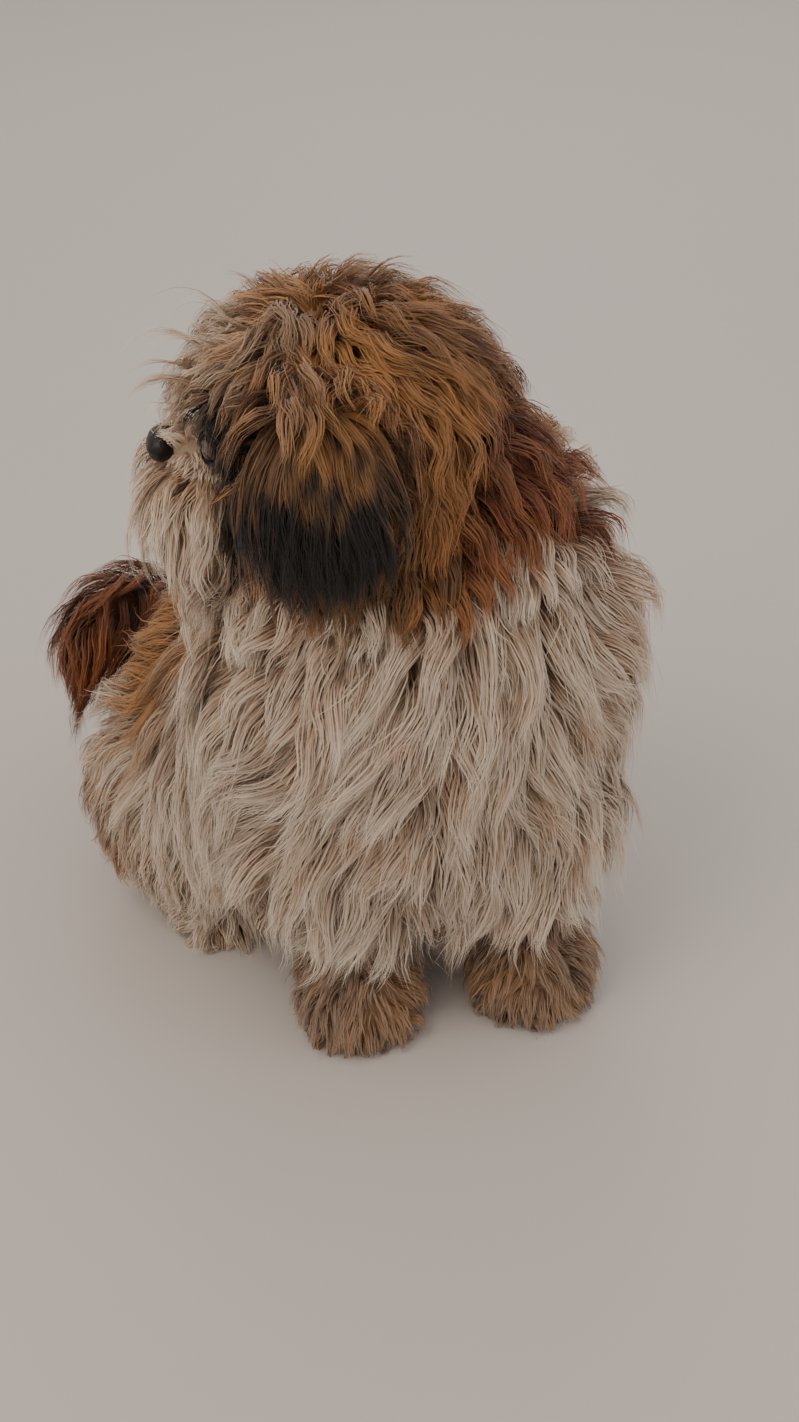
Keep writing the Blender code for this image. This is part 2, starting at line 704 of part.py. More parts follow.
def add_beard(work):
    """Forelock, moustache and beard: locks that puff out off the face and hang down."""
    for k in range(FORELOCKS):
        across = k - (FORELOCKS - 1) / 2
        out = unit(np.array((0.85, across * 0.22, 0.5))) @ HEAD_AXES
        lie = along_surface(np.array((0.25, across * 0.42, -0.9)) @ HEAD_AXES, out)
        add_lock(work, from_head((0.036, across * 0.011, 0.033)), out, lie, varied(FORELOCK_LENGTH),
                 varied(FORELOCK_WIDTH), head_may, lift=1.5, curl=chance.uniform(-0.3, 0.3))
    for side in SIGN.values():
        for row, height in enumerate(MOUSTACHE_HEIGHTS):
            for k in range(3 + row % 2):
                back = k / (2 + row % 2)
                place = (0.060 - 0.034 * back, side * (0.012 + 0.020 * back), height)
                out = unit(np.array((0.85 - 0.85 * back, side * (0.35 + 0.6 * back), -0.1)))
                fall = np.array((0.25 - 0.3 * back, side * 0.25, -1.0))
                out = out @ HEAD_AXES
                lie = turned(along_surface(fall @ HEAD_AXES, out), out, 0.2)
                add_lock(work, from_head(place), out, lie, varied(MOUSTACHE_LENGTH - 0.005 * row),
                         varied(BEARD_WIDTH), head_may, lift=1.9 - 0.6 * back,
                         curl=chance.uniform(-0.3, 0.3))
    for k in range(BEARD_LOCKS):
        across = (k - (BEARD_LOCKS - 1) / 2) * 0.012
        out = unit(np.array((0.45, across * 30, -0.7))) @ HEAD_AXES
        lie = unit(np.array((0.15, across * 12, -1.0))) @ HEAD_AXES
        add_lock(work, from_head((0.050, across, -0.034)), out, lie, varied(BEARD_LENGTH),
                 varied(BEARD_WIDTH), head_may, lift=0.8, curl=chance.uniform(-0.3, 0.3))


def cut_face(head, work):
    """Eye sockets, the opening between the lids, the mouth line and the seat of the nose."""
    room = EYE_RADIUS + GAP
    for sign in SIGN.values():
        place = from_head(mirrored(EYE_PLACE, sign))
        look = unit(mirrored(EYE_LOOK, sign)) @ HEAD_AXES
        axes = np.array((look, np.cross(UP, look), UP))
        ellipsoid(place, (room, room, room), axes, "socket", work, segments=12)
        ellipsoid(place + look * LID_OPENING_OUT, LID_OPENING, axes, "opening", work, segments=12)
    mouth_line(work)
    ellipsoid(from_head(NOSE_CENTRE), np.array(NOSE) + GAP, HEAD_AXES, "nose_seat", work, segments=12)
    apply_boolean(head, "DIFFERENCE", work)


def mouth_line(work):
    """A thin ring round the muzzle, as wide as the mouth's groove is deep."""
    editor = bmesh.new()
    sides = 4
    around = 14
    loops = []
    for i in range(around):
        angle = 2 * math.pi * i / around
        out = np.array((math.cos(angle), math.sin(angle), 0.0))
        middle = np.array((MOUTH_MIDDLE + MOUTH_REACH[0] * out[0], MOUTH_REACH[1] * out[1], MOUTH_HEIGHT))
        loop = []
        for k in range(sides):
            roll = 2 * math.pi * k / sides
            offset = out * MOUTH_DEPTH * math.cos(roll) + UP * MOUTH_SLIT * math.sin(roll)
            loop.append(editor.verts.new(from_head(middle + offset)))
        loops.append(loop)
    for i in range(around):
        j = (i + 1) % around
        for k in range(sides):
            m = (k + 1) % sides
            editor.faces.new((loops[i][k], loops[j][k], loops[j][m], loops[i][m]))
    object_from(editor, "mouth", work)


def make_nose(nodes, work):
    nose = ellipsoid(from_head(NOSE_CENTRE), NOSE, HEAD_AXES, "nose", nodes, segments=12)
    for sign in SIGN.values():
        ellipsoid(from_head(mirrored(NOSTRIL_PLACE, sign)), NOSTRIL, HEAD_AXES, "nostril", work, segments=8)
    apply_boolean(nose, "DIFFERENCE", work)
    return nose


def make_eye(side, nodes):
    place = from_head(mirrored(EYE_PLACE, SIGN[side]))
    radii = (EYE_RADIUS, EYE_RADIUS, EYE_RADIUS)
    return ellipsoid(place, radii, HEAD_AXES, f"eye_{side}", nodes, segments=12)


def make_ear(side, nodes, work):
    """A cupped flap that hangs from its root, with its long hair over and past its edge."""
    root = from_head(mirrored(EAR_ROOT, SIGN[side]))
    tip = from_head(mirrored(EAR_TIP, SIGN[side]))
    down = unit(tip - root)
    out = unit(along_surface(SIGN[side] * HEAD_AXES[1] + UP * 0.2, down))
    wide = np.cross(down, out)
    last = len(EAR_HALF_WIDTHS) - 1

    def flap_point(i, across, inset=1.0):
        """A place on the flap's outer face: station i from root to tip, across from -1 to 1."""
        half = EAR_HALF_WIDTHS[i] * inset
        belly = EAR_BELLY * math.sin(math.pi * i / last)
        cup = EAR_CUP * (1 - across * across) * math.sin(math.pi * (0.25 + 0.6 * i / last))
        return root + (tip - root) * i / last + wide * half * across + out * (belly + cup)

    rings = []
    for i in range(last + 1):
        shares = np.linspace(-1.0, 1.0, EAR_RIBS)
        outer = [flap_point(i, across) for across in shares]
        inner = [point - out * EAR_THICKNESS * (1 - 0.6 * across * across)
                 for point, across in zip(outer, shares)]
        rings.append(outer + inner[::-1])
    ear = loft(rings, f"ear_{side}", nodes)
    room = EARS[side]

    def ear_may(point):
        return room.holds(point, -0.003)

    for i in range(last):
        count = 1 + (i + 1) % 3
        for k in range(count):
            across = (k + 0.5) / count * 2 - 1
            point = flap_point(i, across, inset=0.85)
            lie = turned(unit(down + wide * across * 0.25), out, 0.15)
            add_lock(work, point + out * EAR_LOCK_RISE, out, lie, varied(EAR_LOCK_LENGTH),
                     varied(EAR_LOCK_WIDTH), ear_may, lift=0.75 - 0.12 * i,
                     curl=chance.uniform(-0.3, 0.3))
    return ear


def paw_coat(work, centre, radii, axes, allowed, length, width, spacing):
    """Locks over a foot: down the leg and out over the toes, clear of the floor."""
    for point, normal in spread_on_ellipsoid(centre, radii, axes, spacing):
        if point[2] < 0.010 or normal[2] > 0.93:
            continue
        flat = np.array((normal[0], normal[1], 0.0))
        lie = turned(along_surface(-UP + unit(flat) * 0.3, normal), normal, 0.2)
        room = max(point[2] - 0.002, 0.008)
        add_lock(work, point, normal, lie, min(varied(length), room * 1.35), varied(width), allowed,
                 lift=0.9, curl=chance.uniform(-0.3, 0.3), steps=3)


def make_foreleg(side, nodes, work):
    x, y = FORE_PAW[side]
    turn = FORE_PAW_TURN[side]
    axes = np.array(((math.cos(turn), math.sin(turn), 0.0), (-math.sin(turn), math.cos(turn), 0.0),
                     (0.0, 0.0, 1.0)))
    leg = cone((x, y + SHANK_BACK), SHANK_RADIUS, SHANK_RADIUS, 0.010, FORE_TOP - GAP / 2,
               f"foreleg_{side}", nodes)
    centre = np.array((x, y, PAW[2] - 0.002))
    ellipsoid(centre, PAW, axes, "paw", work, segments=14)

    def fore_may(point):
        return over_fore_paw(point, -0.0025) and point[2] > 0.001

    paw_coat(work, centre, PAW, axes, fore_may, PAW_LOCK_LENGTH, PAW_LOCK_WIDTH, FORE_LOCK_STEP)
    shank = (SHANK_RADIUS, SHANK_RADIUS, 0.040)
    paw_coat(work, np.array((x, y + SHANK_BACK, 0.044)), shank, axes, fore_may, SHANK_LOCK_LENGTH,
             SHANK_LOCK_WIDTH, SHANK_LOCK_STEP)
    return leg


def make_hindleg(side, nodes, work):
    thigh, foot = hind_centre(side)
    axes = np.array((DOG_LEFT, TAILWARD, UP))
    leg = ellipsoid(thigh, THIGH, axes, f"hindleg_{side}", nodes, segments=18)
    ellipsoid(foot, HIND_FOOT, axes, "foot", work, segments=14)

    def hind_may(point):
        return any(room.holds(point, -0.0025) for room in HINDS[side]) and point[2] > 0.001

    for point, normal in spread_on_ellipsoid(thigh, THIGH, axes, THIGH_LOCK_STEP):
        if np.dot(normal, SIGN[side] * DOG_LEFT) < -0.1 or point[2] < 0.025:
            continue
        lie = turned(along_surface(-UP + TAILWARD * 0.35, normal), normal, 0.3)
        add_lock(work, point, normal, lie, varied(THIGH_LOCK_LENGTH), varied(THIGH_LOCK_WIDTH),
                 hind_may, lift=0.9, curl=chance.uniform(-0.4, 0.4))
    paw_coat(work, foot, HIND_FOOT, axes, hind_may, PAW_LOCK_LENGTH, PAW_LOCK_WIDTH, HIND_LOCK_STEP)
    return leg


def make_tail(nodes, work):
    """A curled tail with its plume: long locks that spill over to both sides of the arc."""
    stations = [(x, y, z, r, r, 0.0) for x, y, z, r in TAIL]
    smooth = smooth_stations(stations, 2)
    tail = loft(stations_to_rings(smooth, TAIL_SIDES), "tail", nodes)
    arc = np.array([s[:3] for s in smooth])
    for i in range(TAIL_LOCKS):
        place = 0.28 + 0.72 * i / (TAIL_LOCKS - 1)
        k = min(int(place * (len(arc) - 1)), len(arc) - 2)
        share = place * (len(arc) - 1) - k
        point = arc[k] * (1 - share) + arc[k + 1] * share
        way = unit(arc[k + 1] - arc[k])
        outer = along_surface(point - np.array(TAIL_CURL_MIDDLE), way)
        aside = np.cross(way, outer) * (1.0 if i % 2 else -1.0)
        normal = unit(outer * 0.8 + aside * (0.7 if i % 3 else 0.1))
        fall = way * 0.9 - UP * 0.75 + aside * 0.25 + np.array((-0.4, -0.1, 0.0))
        lie = turned(along_surface(fall, normal), normal, 0.2)
        add_lock(work, point + normal * 0.008, normal, lie, varied(TAIL_LOCK_LENGTH),
                 varied(TAIL_LOCK_WIDTH), tail_may, lift=0.7, curl=chance.uniform(-0.5, 0.5))
    return tail


def cut_trunk_seams(torso, work):
    apply_boolean(torso, "INTERSECT", collar_cone(-GAP / 2, "collar", work))
    cut_away(torso, [half_space(NAPE_POINT, NAPE_NORMAL, -GAP / 2, "above_nape", work)])
    for side in ("left", "right"):
        cut_away(torso, [EARS[side].solid(GAP / 2, "ear_space", work)])
        cut_away(torso, [room.solid(GAP / 2, "hind_space", work) for room in HINDS[side]])
        cut_away(torso, [fore_room(side, GAP / 2, "fore_space", work)])
    cut_away(torso, [tail_room(-GAP / 2, GAP / 2, work)])


def tail_room(seam_shift, grow, work):
    """The room of the tail, on its own side of the seam at its root."""
    seam = half_space(TAIL_SEAM_POINT, TAIL_SEAM_NORMAL, seam_shift, "beyond_seam", work)
    apply_boolean(seam, "INTERSECT", TAIL_ROOM.solid(grow, "tail_space", work))
    return seam


def cut_neck_seams(neck, work):
    cut_away(neck, [collar_cone(GAP / 2, "collar", work),
                    half_space(NAPE_POINT, NAPE_NORMAL, -GAP / 2, "above_nape", work)])
    cut_away(neck, [EARS[side].solid(GAP / 2, "ear_space", work) for side in ("left", "right")])


def cut_head_seams(head, work):
    apply_boolean(head, "INTERSECT", half_space(NAPE_POINT, NAPE_NORMAL, GAP / 2, "head_side", work))
    cut_away(head, [EARS[side].solid(GAP / 2, "ear_space", work) for side in ("left", "right")])


def keep_inside(node, kind, side, work):
    """Cut off what stands out of the room of an ear or a leg."""
    if kind == "ear":
        room = EARS[side].solid(-GAP / 2, "room", work)
    elif kind == "foreleg":
        room = fore_room(side, -GAP / 2, "room", work)
    else:
        room, *others = [space.solid(-GAP / 2, "room", work) for space in HINDS[side]]
        for other in others:
            apply_boolean(room, "UNION", other)
    apply_boolean(node, "INTERSECT", room)


def rest_on_floor(node, work):
    """Cut a node off level with the floor."""
    low = min(v.co.z for v in node.data.vertices)
    if low < FLOOR:
        apply_boolean(node, "DIFFERENCE", box((-0.5, -0.5, -0.2), (0.5, 0.5, FLOOR), "floor", work))


def finish(node, kind):
    colour, roughness = FINISH[kind]
    material = bpy.data.materials.new(node.name)
    material.use_nodes = True
    shader = material.node_tree.nodes["Principled BSDF"]
    shader.inputs["Base Color"].default_value = (*colour, 1.0)
    shader.inputs["Roughness"].default_value = roughness
    shader.inputs["Metallic"].default_value = 0.0
    material.diffuse_color = (*colour, 1.0)
    node.data.materials.clear()
    node.data.materials.append(material)
    node.data.shade_smooth()
    node.data.set_sharp_from_angle(angle=math.radians(35.0))


def main():
    clear_scene()
    nodes = collection(MODEL)
    work = collection("pieces")

    torso = make_torso(nodes, work)
    apply_boolean(torso, "UNION", work)
    cut_trunk_seams(torso, work)

    neck = make_neck(nodes, work)
    apply_boolean(neck, "UNION", work)
    cut_neck_seams(neck, work)

    head = make_head(nodes, work)
    apply_boolean(head, "UNION", work)
    cut_face(head, work)
    cut_head_seams(head, work)

    made = [("torso", torso), ("neck", neck), ("head", head), ("nose", make_nose(nodes, work))]
    for side in ("left", "right"):
        made.append(("eye", make_eye(side, nodes)))
        for kind, maker in (("ear", make_ear), ("foreleg", make_foreleg), ("hindleg", make_hindleg)):
            node = maker(side, nodes, work)
            apply_boolean(node, "UNION", work)
            keep_inside(node, kind, side, work)
            made.append((kind, node))

    tail = make_tail(nodes, work)
    apply_boolean(tail, "UNION", work)
    apply_boolean(tail, "INTERSECT", tail_room(GAP / 2, -GAP / 2, work))
    made.append(("tail", tail))

    anchor = bpy.data.objects.new("dog_origin", None)
    nodes.objects.link(anchor)
    corners = []
    for kind, node in made:
        rest_on_floor(node, work)
        keep_largest(node)
        finish(node, kind)
        corners += [tuple(v.co) for v in node.data.vertices]
        node.parent = anchor
    corners = np.array(corners)
    middle = (corners.min(axis=0) + corners.max(axis=0)) / 2
    anchor.location = (-middle[0], -middle[1], -FLOOR)
    bpy.data.collections.remove(work)


main()
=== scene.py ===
import math

import bmesh
import bpy
import numpy as np
from mathutils import Matrix, Vector
from mathutils.bvhtree import BVHTree


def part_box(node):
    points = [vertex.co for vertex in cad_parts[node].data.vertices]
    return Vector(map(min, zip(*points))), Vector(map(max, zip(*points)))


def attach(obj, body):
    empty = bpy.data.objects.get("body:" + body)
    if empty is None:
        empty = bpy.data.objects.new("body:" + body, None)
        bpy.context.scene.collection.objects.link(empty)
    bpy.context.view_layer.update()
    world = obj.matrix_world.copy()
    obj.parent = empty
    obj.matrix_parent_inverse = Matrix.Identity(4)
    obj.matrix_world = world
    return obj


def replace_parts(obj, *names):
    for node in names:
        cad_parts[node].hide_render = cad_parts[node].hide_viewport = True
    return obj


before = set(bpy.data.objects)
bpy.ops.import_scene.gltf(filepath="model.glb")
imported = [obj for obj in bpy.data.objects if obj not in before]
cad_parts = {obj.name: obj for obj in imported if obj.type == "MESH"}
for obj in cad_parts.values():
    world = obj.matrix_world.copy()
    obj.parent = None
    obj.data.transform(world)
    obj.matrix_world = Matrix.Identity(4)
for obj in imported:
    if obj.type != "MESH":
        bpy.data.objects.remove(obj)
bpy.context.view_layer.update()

# The dog is drawn on its own axes: X to its left, Y to its back, the floor between its front
# paws as the start. All of it is moved at the end of each build to where the solids stand.
mm = 0.001
upward = np.array((0.0, 0.0, 1.0))


def turnedAxes(degrees):
    a = math.radians(degrees)
    return np.array(((math.cos(a), math.sin(a), 0.0), (-math.sin(a), math.cos(a), 0.0), (0.0, 0.0, 1.0)))


headPlace = np.array((-0.020, 0.043, 0.292))
headAxes = turnedAxes(170.0)  # to the front of the face, to its left and up
hipAxes = turnedAxes(22.0)
hipLeft, tailward = hipAxes[:2]


def unit(v):
    return v / np.maximum(np.linalg.norm(v, axis=-1, keepdims=True), 1e-9)


def fromHead(point, side=1.0):
    # a place of the head on the dog's own axes; side -1 mirrors it to the dog's right
    return headPlace + (np.array(point) * (1.0, side, 1.0)) @ headAxes


def toHead(points):
    return (points - headPlace) @ headAxes.T


def smoothStep(low, high, value):
    t = np.clip((value - low) / (high - low), 0.0, 1.0)
    return t * t * (3 - 2 * t)


def softNoise(points, size, seed):
    # slow, even waves in all directions, about -1 to 1
    rng = np.random.default_rng(seed)
    total = np.zeros(len(points))
    for k in range(6):
        way = unit(rng.normal(size=3)) * 2 * math.pi / size * (0.6 + 0.25 * k)
        total += np.sin(points @ way + rng.uniform(0, 6.28))
    return total / 2.6


eyePlace = (0.0405, 0.0240, 0.008)
lowEye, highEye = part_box("eye_left")
eyeMiddle = [(a + b) / 2 for a, b in zip(lowEye, highEye)]
shift = np.array(eyeMiddle) - fromHead(eyePlace)
print("scene: the dog stands", [round(float(s), 4) for s in shift], "from its own start")


# Colours and materials

def hexColour(code):
    # an sRGB hex value as linear light
    channels = [int(code[i:i + 2], 16) / 255 for i in (1, 3, 5)]
    linear = [c / 12.92 if c <= 0.04045 else ((c + 0.055) / 1.055) ** 2.4 for c in channels]
    return (*linear, 1.0)


def setUp(tree, node, settings):
    # a socket as the value makes a link, and any other value is set on the input or the node
    for name, value in settings.items():
        if isinstance(value, bpy.types.NodeSocket):
            tree.links.new(value, node.inputs[name])
        elif isinstance(name, int) or name in node.inputs:
            node.inputs[name].default_value = value
        else:
            setattr(node, name, value)
    return node.outputs


def addNode(tree, kind, settings):
    return setUp(tree, tree.nodes.new("ShaderNode" + kind), settings)


def newMaterial(name):
    material = bpy.data.materials.new(name)
    material.use_nodes = True
    tree = material.node_tree
    return material, tree, tree.nodes["Principled BSDF"]


rgba = {"data_type": "RGBA", "clamp_factor": True}  # a colour mix: 0 is the share, 6 and 7 the colours

coatColours = dict(
    # root and tip of each kind of hair; the darker, warmer root colour is painted shade deep in the coat
    cream=("#A98565", "#FBEEDC"), brown=("#5C3A23", "#A6794F"),
    auburn=("#431B0C", "#A25A30"), dark=("#0B0908", "#1B1614"),
    # a second colour in soft patches: from and to on the noise, and its greatest share
    patches=dict(cream=("#CB9C72", 0.50, 0.78, 0.48), brown=("#BE854A", 0.34, 0.60, 0.75)),
    patchMm=34.0, fleckMm=5.0,
)


def makeHair(name, roughness, bright):
    # Dog hair, grown long and combed out: satin keratin, so each strand catches a soft, broad
    # light; cream, golden brown, auburn and near-black hair are mixed by the coat's markings, and
    # painted shade darkens each strand towards its root
    look = coatColours
    material, tree, shader = newMaterial(name)
    place = addNode(tree, "TexCoord", {})["Object"]
    marks = addNode(tree, "Attribute", {"attribute_name": "coat"})
    along = addNode(tree, "Attribute", {"attribute_name": "along"})["Fac"]
    shares = addNode(tree, "SeparateColor", {0: marks["Color"]})
    cloud = addNode(tree, "TexNoise", {"Scale": 1000 / look["patchMm"], "Detail": 2.0,
                                       "Vector": place})["Fac"]
    fleck = addNode(tree, "TexNoise", {"Scale": 1000 / look["fleckMm"], "Detail": 1.0,
                                       "Vector": place})["Fac"]
    hair = {}
    for kind in ("cream", "brown", "auburn", "dark"):
        root, tip = look[kind]
        # each strand runs from its root colour to its tip colour: painted shade, deepest at the root
        hair[kind] = addNode(tree, "Mix", {**rgba, 0: along, 6: hexColour(root), 7: hexColour(tip)})[2]
    for kind, (code, low, high, most) in look["patches"].items():
        share = addNode(tree, "MapRange", {"Value": cloud, "From Min": low, "From Max": high,
                                           "To Max": most})[0]
        hair[kind] = addNode(tree, "Mix", {**rgba, 0: share, 6: hair[kind], 7: hexColour(code)})[2]
    colour = hair["cream"]
    for channel, kind in (("Red", "brown"), ("Blue", "auburn"), ("Green", "dark")):
        colour = addNode(tree, "Mix", {**rgba, 0: shares[channel], 6: colour, 7: hair[kind]})[2]
    # random tone of each strand, times the material's brightness, which on the skin is painted shade
    toneAndShade = addNode(tree, "MapRange", {"To Min": bright * 0.74, "To Max": bright * 1.10,
                                      "Value": marks["Alpha"]})[0]
    speck = addNode(tree, "MapRange", {"To Min": 0.86, "To Max": 1.12, "Value": fleck})[0]
    light = addNode(tree, "Math", {"operation": "MULTIPLY", 0: toneAndShade, 1: speck})[0]
    grey = addNode(tree, "CombineColor", {0: light, 1: light, 2: light})[0]
    colour = addNode(tree, "Mix", {**rgba, "blend_type": "MULTIPLY", 0: 1.0, 6: colour, 7: grey})[2]
    setUp(tree, shader, {"Base Color": colour, "Roughness": roughness, "IOR": 1.55,
                         "Specular IOR Level": 0.35, "Sheen Weight": 0.35, "Sheen Roughness": 0.4})
    return material


def clouded(tree, scale, detail, first, second):
    # two colours in soft clouds, with the share of the second
    place = addNode(tree, "TexCoord", {})["Object"]
    share = addNode(tree, "TexNoise", {"Scale": scale, "Detail": detail, "Vector": place})["Fac"]
    return share, addNode(tree, "Mix", {**rgba, 0: share, 6: hexColour(first), 7: hexColour(second)})[2]


def makeEyeGloss():
    # A wet dog's eye: dark brown iris round a wide pupil under a clear, mirror-smooth cornea
    material, tree, shader = newMaterial("wet_cornea_over_brown_iris")
    ring = addNode(tree, "Attribute", {"attribute_name": "ring"})["Fac"]
    ramp = tree.nodes.new("ShaderNodeValToRGB")
    stops = ramp.color_ramp.elements
    stops[0].position, stops[0].color = 0.30, hexColour("#050404")
    stops[1].position, stops[1].color = 0.36, hexColour("#2E1509")
    for place, code in ((0.60, "#3A1C0C"), (0.70, "#0C0705"), (0.84, "#2A1C18")):
        stops.new(place).color = hexColour(code)
    colour = setUp(tree, ramp, {0: ring})["Color"]
    setUp(tree, shader, {"Base Color": colour, "Roughness": 0.12, "IOR": 1.376,
                         "Coat Weight": 1.0, "Coat Roughness": 0.02})
    return material


def makeNoseLeather():
    # Nose leather: bare, damp skin in small pebbles, so it shines in broken patches
    look = dict(pebbleMm=0.9, deepMm=0.25, blotchMm=6.0, dark="#0D0B0A", pale="#211A18")
    material, tree, shader = newMaterial("damp_pebbled_nose_skin")
    place = addNode(tree, "TexCoord", {})["Object"]
    pebbles = addNode(tree, "TexVoronoi", {"Scale": 1000 / look["pebbleMm"], "Vector": place})
    blotch, colour = clouded(tree, 1000 / look["blotchMm"], 2.0, look["dark"], look["pale"])
    bumps = addNode(tree, "Bump", {"Strength": 0.55, "Distance": look["deepMm"] * mm, "invert": True,
                                   "Height": pebbles["Distance"]})["Normal"]
    damp = addNode(tree, "MapRange", {"To Min": 0.26, "To Max": 0.5, "Value": blotch})[0]
    setUp(tree, shader, {"Base Color": colour, "Roughness": damp, "Normal": bumps, "IOR": 1.45})
    return material


def makeClawHorn():
    # Claw horn: dark, smooth keratin with faint growth lines
    look = dict(grainMm=1.5, dark="#1F1713", pale="#4A3B31")
    material, tree, shader = newMaterial("grown_claw_horn")
    colour = clouded(tree, 1000 / look["grainMm"], 3.0, look["dark"], look["pale"])[1]
    setUp(tree, shader, {"Base Color": colour, "Roughness": 0.35, "IOR": 1.54})
    return material


materials = dict(
    # the skin takes the hair's colours at 0.8 brightness: painted shade under the coat
    hair=makeHair("combed_dog_hair", 0.58, 1.0), shadedUnderCoat=makeHair("dog_skin_in_painted_shade", 0.8, 0.8),
    eye=makeEyeGloss(), nose=makeNoseLeather(), claw=makeClawHorn(),
)
print("scene: materials done")


# Where each kind of hair grows: masks on the dog's own axes, 0 to 1

markForm = dict(
    # middle and radii of each soft patch, the first four in the head's axes on both sides
    eyePatch=((0.036, 0.034, 0.005), (0.026, 0.024, 0.047)),
    mouthCorner=((0.030, 0.033, -0.024), (0.012, 0.010, 0.010)),
    behindCheek=((-0.030, 0.050, -0.030), (0.030, 0.026, 0.018)),
    cheek=((0.014, 0.038, -0.026), (0.028, 0.028, 0.032)),
    loin=((-0.078, 0.118, 0.165), (0.060, 0.062, 0.060)),
    hip=((-0.128, 0.120, 0.062), (0.036, 0.040, 0.032)),
    # height above the neck's middle, and the fall for each metre out from there
    neckMiddle=(0.027, 0.045), brownEdge=(0.270, 0.56), collarEdge=(0.262, 0.58),
)
# a place on each seam and the way that it faces
tailSeam = (np.array((-0.0755, 0.2092, 0.0808)), unit(np.array((-0.48, 0.42, 0.77))))
napeSeam = (np.array((0.030, 0.045, 0.298)), unit(np.array((-0.550, 0.0, 0.835))))
tailMiddle = np.array((-0.113, 0.207, 0.105))
tailReach = 0.062


def softPatch(points, name):
    # 1 in the middle of an ellipsoid, 0 from its rim on
    centre, radii = markForm[name]
    reach = np.linalg.norm((points - np.array(centre)) / np.array(radii), axis=1)
    return smoothStep(1.0, 0.55, reach)


def overEdge(points, name):
    height, fall = markForm[name]
    x, y = markForm["neckMiddle"]
    return points[:, 2] - (height - fall * np.hypot(points[:, 0] - x, points[:, 1] - y))


def beyondSeam(points, seam):
    return (points - seam[0]) @ seam[1]


def beyondTailSeam(points):
    near = np.linalg.norm(points - tailMiddle, axis=1) < tailReach
    return np.where(near, beyondSeam(points, tailSeam), -1.0)


def markings(points):
    # brown, dark and auburn shares at each place of the coat; the rest is cream
    f, l, u = toHead(points).T
    x, y, z = points.T
    mirror = np.stack((f, np.abs(l), u), axis=1)
    edge = softNoise(points, 0.045, 5)
    brown = smoothStep(-0.004, 0.008, overEdge(points, "brownEdge") + edge * 0.007)
    # paler over the forehead, white on throat, muzzle, bridge and blaze
    brown *= 1 - 0.32 * smoothStep(-0.015, 0.02, f) * smoothStep(0.01, 0.03, u) * (0.7 + 0.5 * edge)
    brown *= 1 - smoothStep(0.010, 0.028, f + edge * 0.004) * smoothStep(-0.018, -0.038, u)
    muzzle = smoothStep(0.034, 0.046, f + edge * 0.003) * smoothStep(0.006, -0.004, u)
    bridge = smoothStep(0.038, 0.048, f) * smoothStep(0.016, 0.011, np.abs(l))
    blaze = smoothStep(0.024, 0.012, np.abs(l)) * smoothStep(0.006, 0.028, f)
    brown *= 1 - np.maximum(np.maximum(muzzle, blaze), bridge)
    # dark fur round the eyes, deepened as painted shade in the eyes' hollows
    dark = softPatch(mirror, "eyePatch") * (1 - np.maximum(0.9 * blaze, 0.85 * muzzle))
    for name, share in (("mouthCorner", 0.8), ("behindCheek", 0.6)):
        dark = np.maximum(dark, share * softPatch(mirror, name))
    auburn = 0.8 * softPatch(mirror, "cheek") * brown * (1 - dark)
    # auburn at the nape: the hair's own red, deepened as painted shade low on the head where it meets the
    # neck
    nape = smoothStep(-0.030, 0.066, x + 0.012 * edge) * smoothStep(0.350, 0.300, z)
    auburn = np.maximum(auburn, 0.85 * nape * brown * (0.75 + 0.5 * edge))
    # the fore legs browner low down: brown hair at the wrists, and painted shade under the bib
    wrist = smoothStep(0.066, 0.050, z) * smoothStep(0.034, 0.026, y)
    tail = smoothStep(0.0, 0.012, beyondTailSeam(points)) * (x < -0.055)
    for patch in (softPatch(points, "loin"), 0.75 * softPatch(points, "hip"), 0.66 * wrist, tail):
        brown = np.maximum(brown, patch)
    # painted shade on the fore legs under the bib
    dark = np.maximum(dark, 0.20 * wrist)
    auburn = np.maximum(auburn, tail * 0.85)
    return brown, np.clip(dark, 0, 1), np.clip(auburn, 0, 1)


# Forms of the body under the coat

def addObject(name, data):
    made = bpy.data.objects.new(name, data)
    bpy.context.scene.collection.objects.link(made)
    return made


class Clay:
    # closed forms gathered in one mesh, to be fused by a remesh
    def __init__(self):
        self.editor = bmesh.new()

    def ball(self, centre, radii, axes, segments=32):
        made = bmesh.ops.create_uvsphere(self.editor, u_segments=segments,
                                         v_segments=segments // 2, radius=1.0)
        for vertex in made["verts"]:
            vertex.co = np.array(centre) + (np.array(vertex.co) * np.array(radii)) @ axes
        return self

    def loft(self, rings, tip=None, closed=False):
        # a skin over rings of points; closed joins the last ring to the first and turns the faces
        new = self.editor.faces.new
        loops = [[self.editor.verts.new(point) for point in ring] for ring in rings]
        count = len(loops[0])
        made = []
        for low, high in zip(loops, loops[1:] + loops[:1] * closed):
            for i in range(count):
                j = (i + 1) % count
                corners = [low[i], low[j], high[j], high[i]]
                made.append(new(corners[:1] + corners[:0:-1] if closed else corners))
        if not closed:
            made.append(new(loops[0][::-1]))
        if tip is not None:
            end = self.editor.verts.new(tip)
            made += [new((loops[-1][i], loops[-1][(i + 1) % count], end)) for i in range(count)]
        elif not closed:
            made.append(new(loops[-1]))
        bmesh.ops.recalc_face_normals(self.editor, faces=made)
        return self

    def finish(self, name):
        mesh = bpy.data.meshes.new(name)
        self.editor.to_mesh(mesh)
        self.editor.free()
        return addObject(name, mesh)


def applyModifiers(thing):
    bpy.context.view_layer.update()
    fresh = bpy.data.meshes.new_from_object(thing.evaluated_get(bpy.context.evaluated_depsgraph_get()))
    thing.modifiers.clear()
    thing.data = fresh


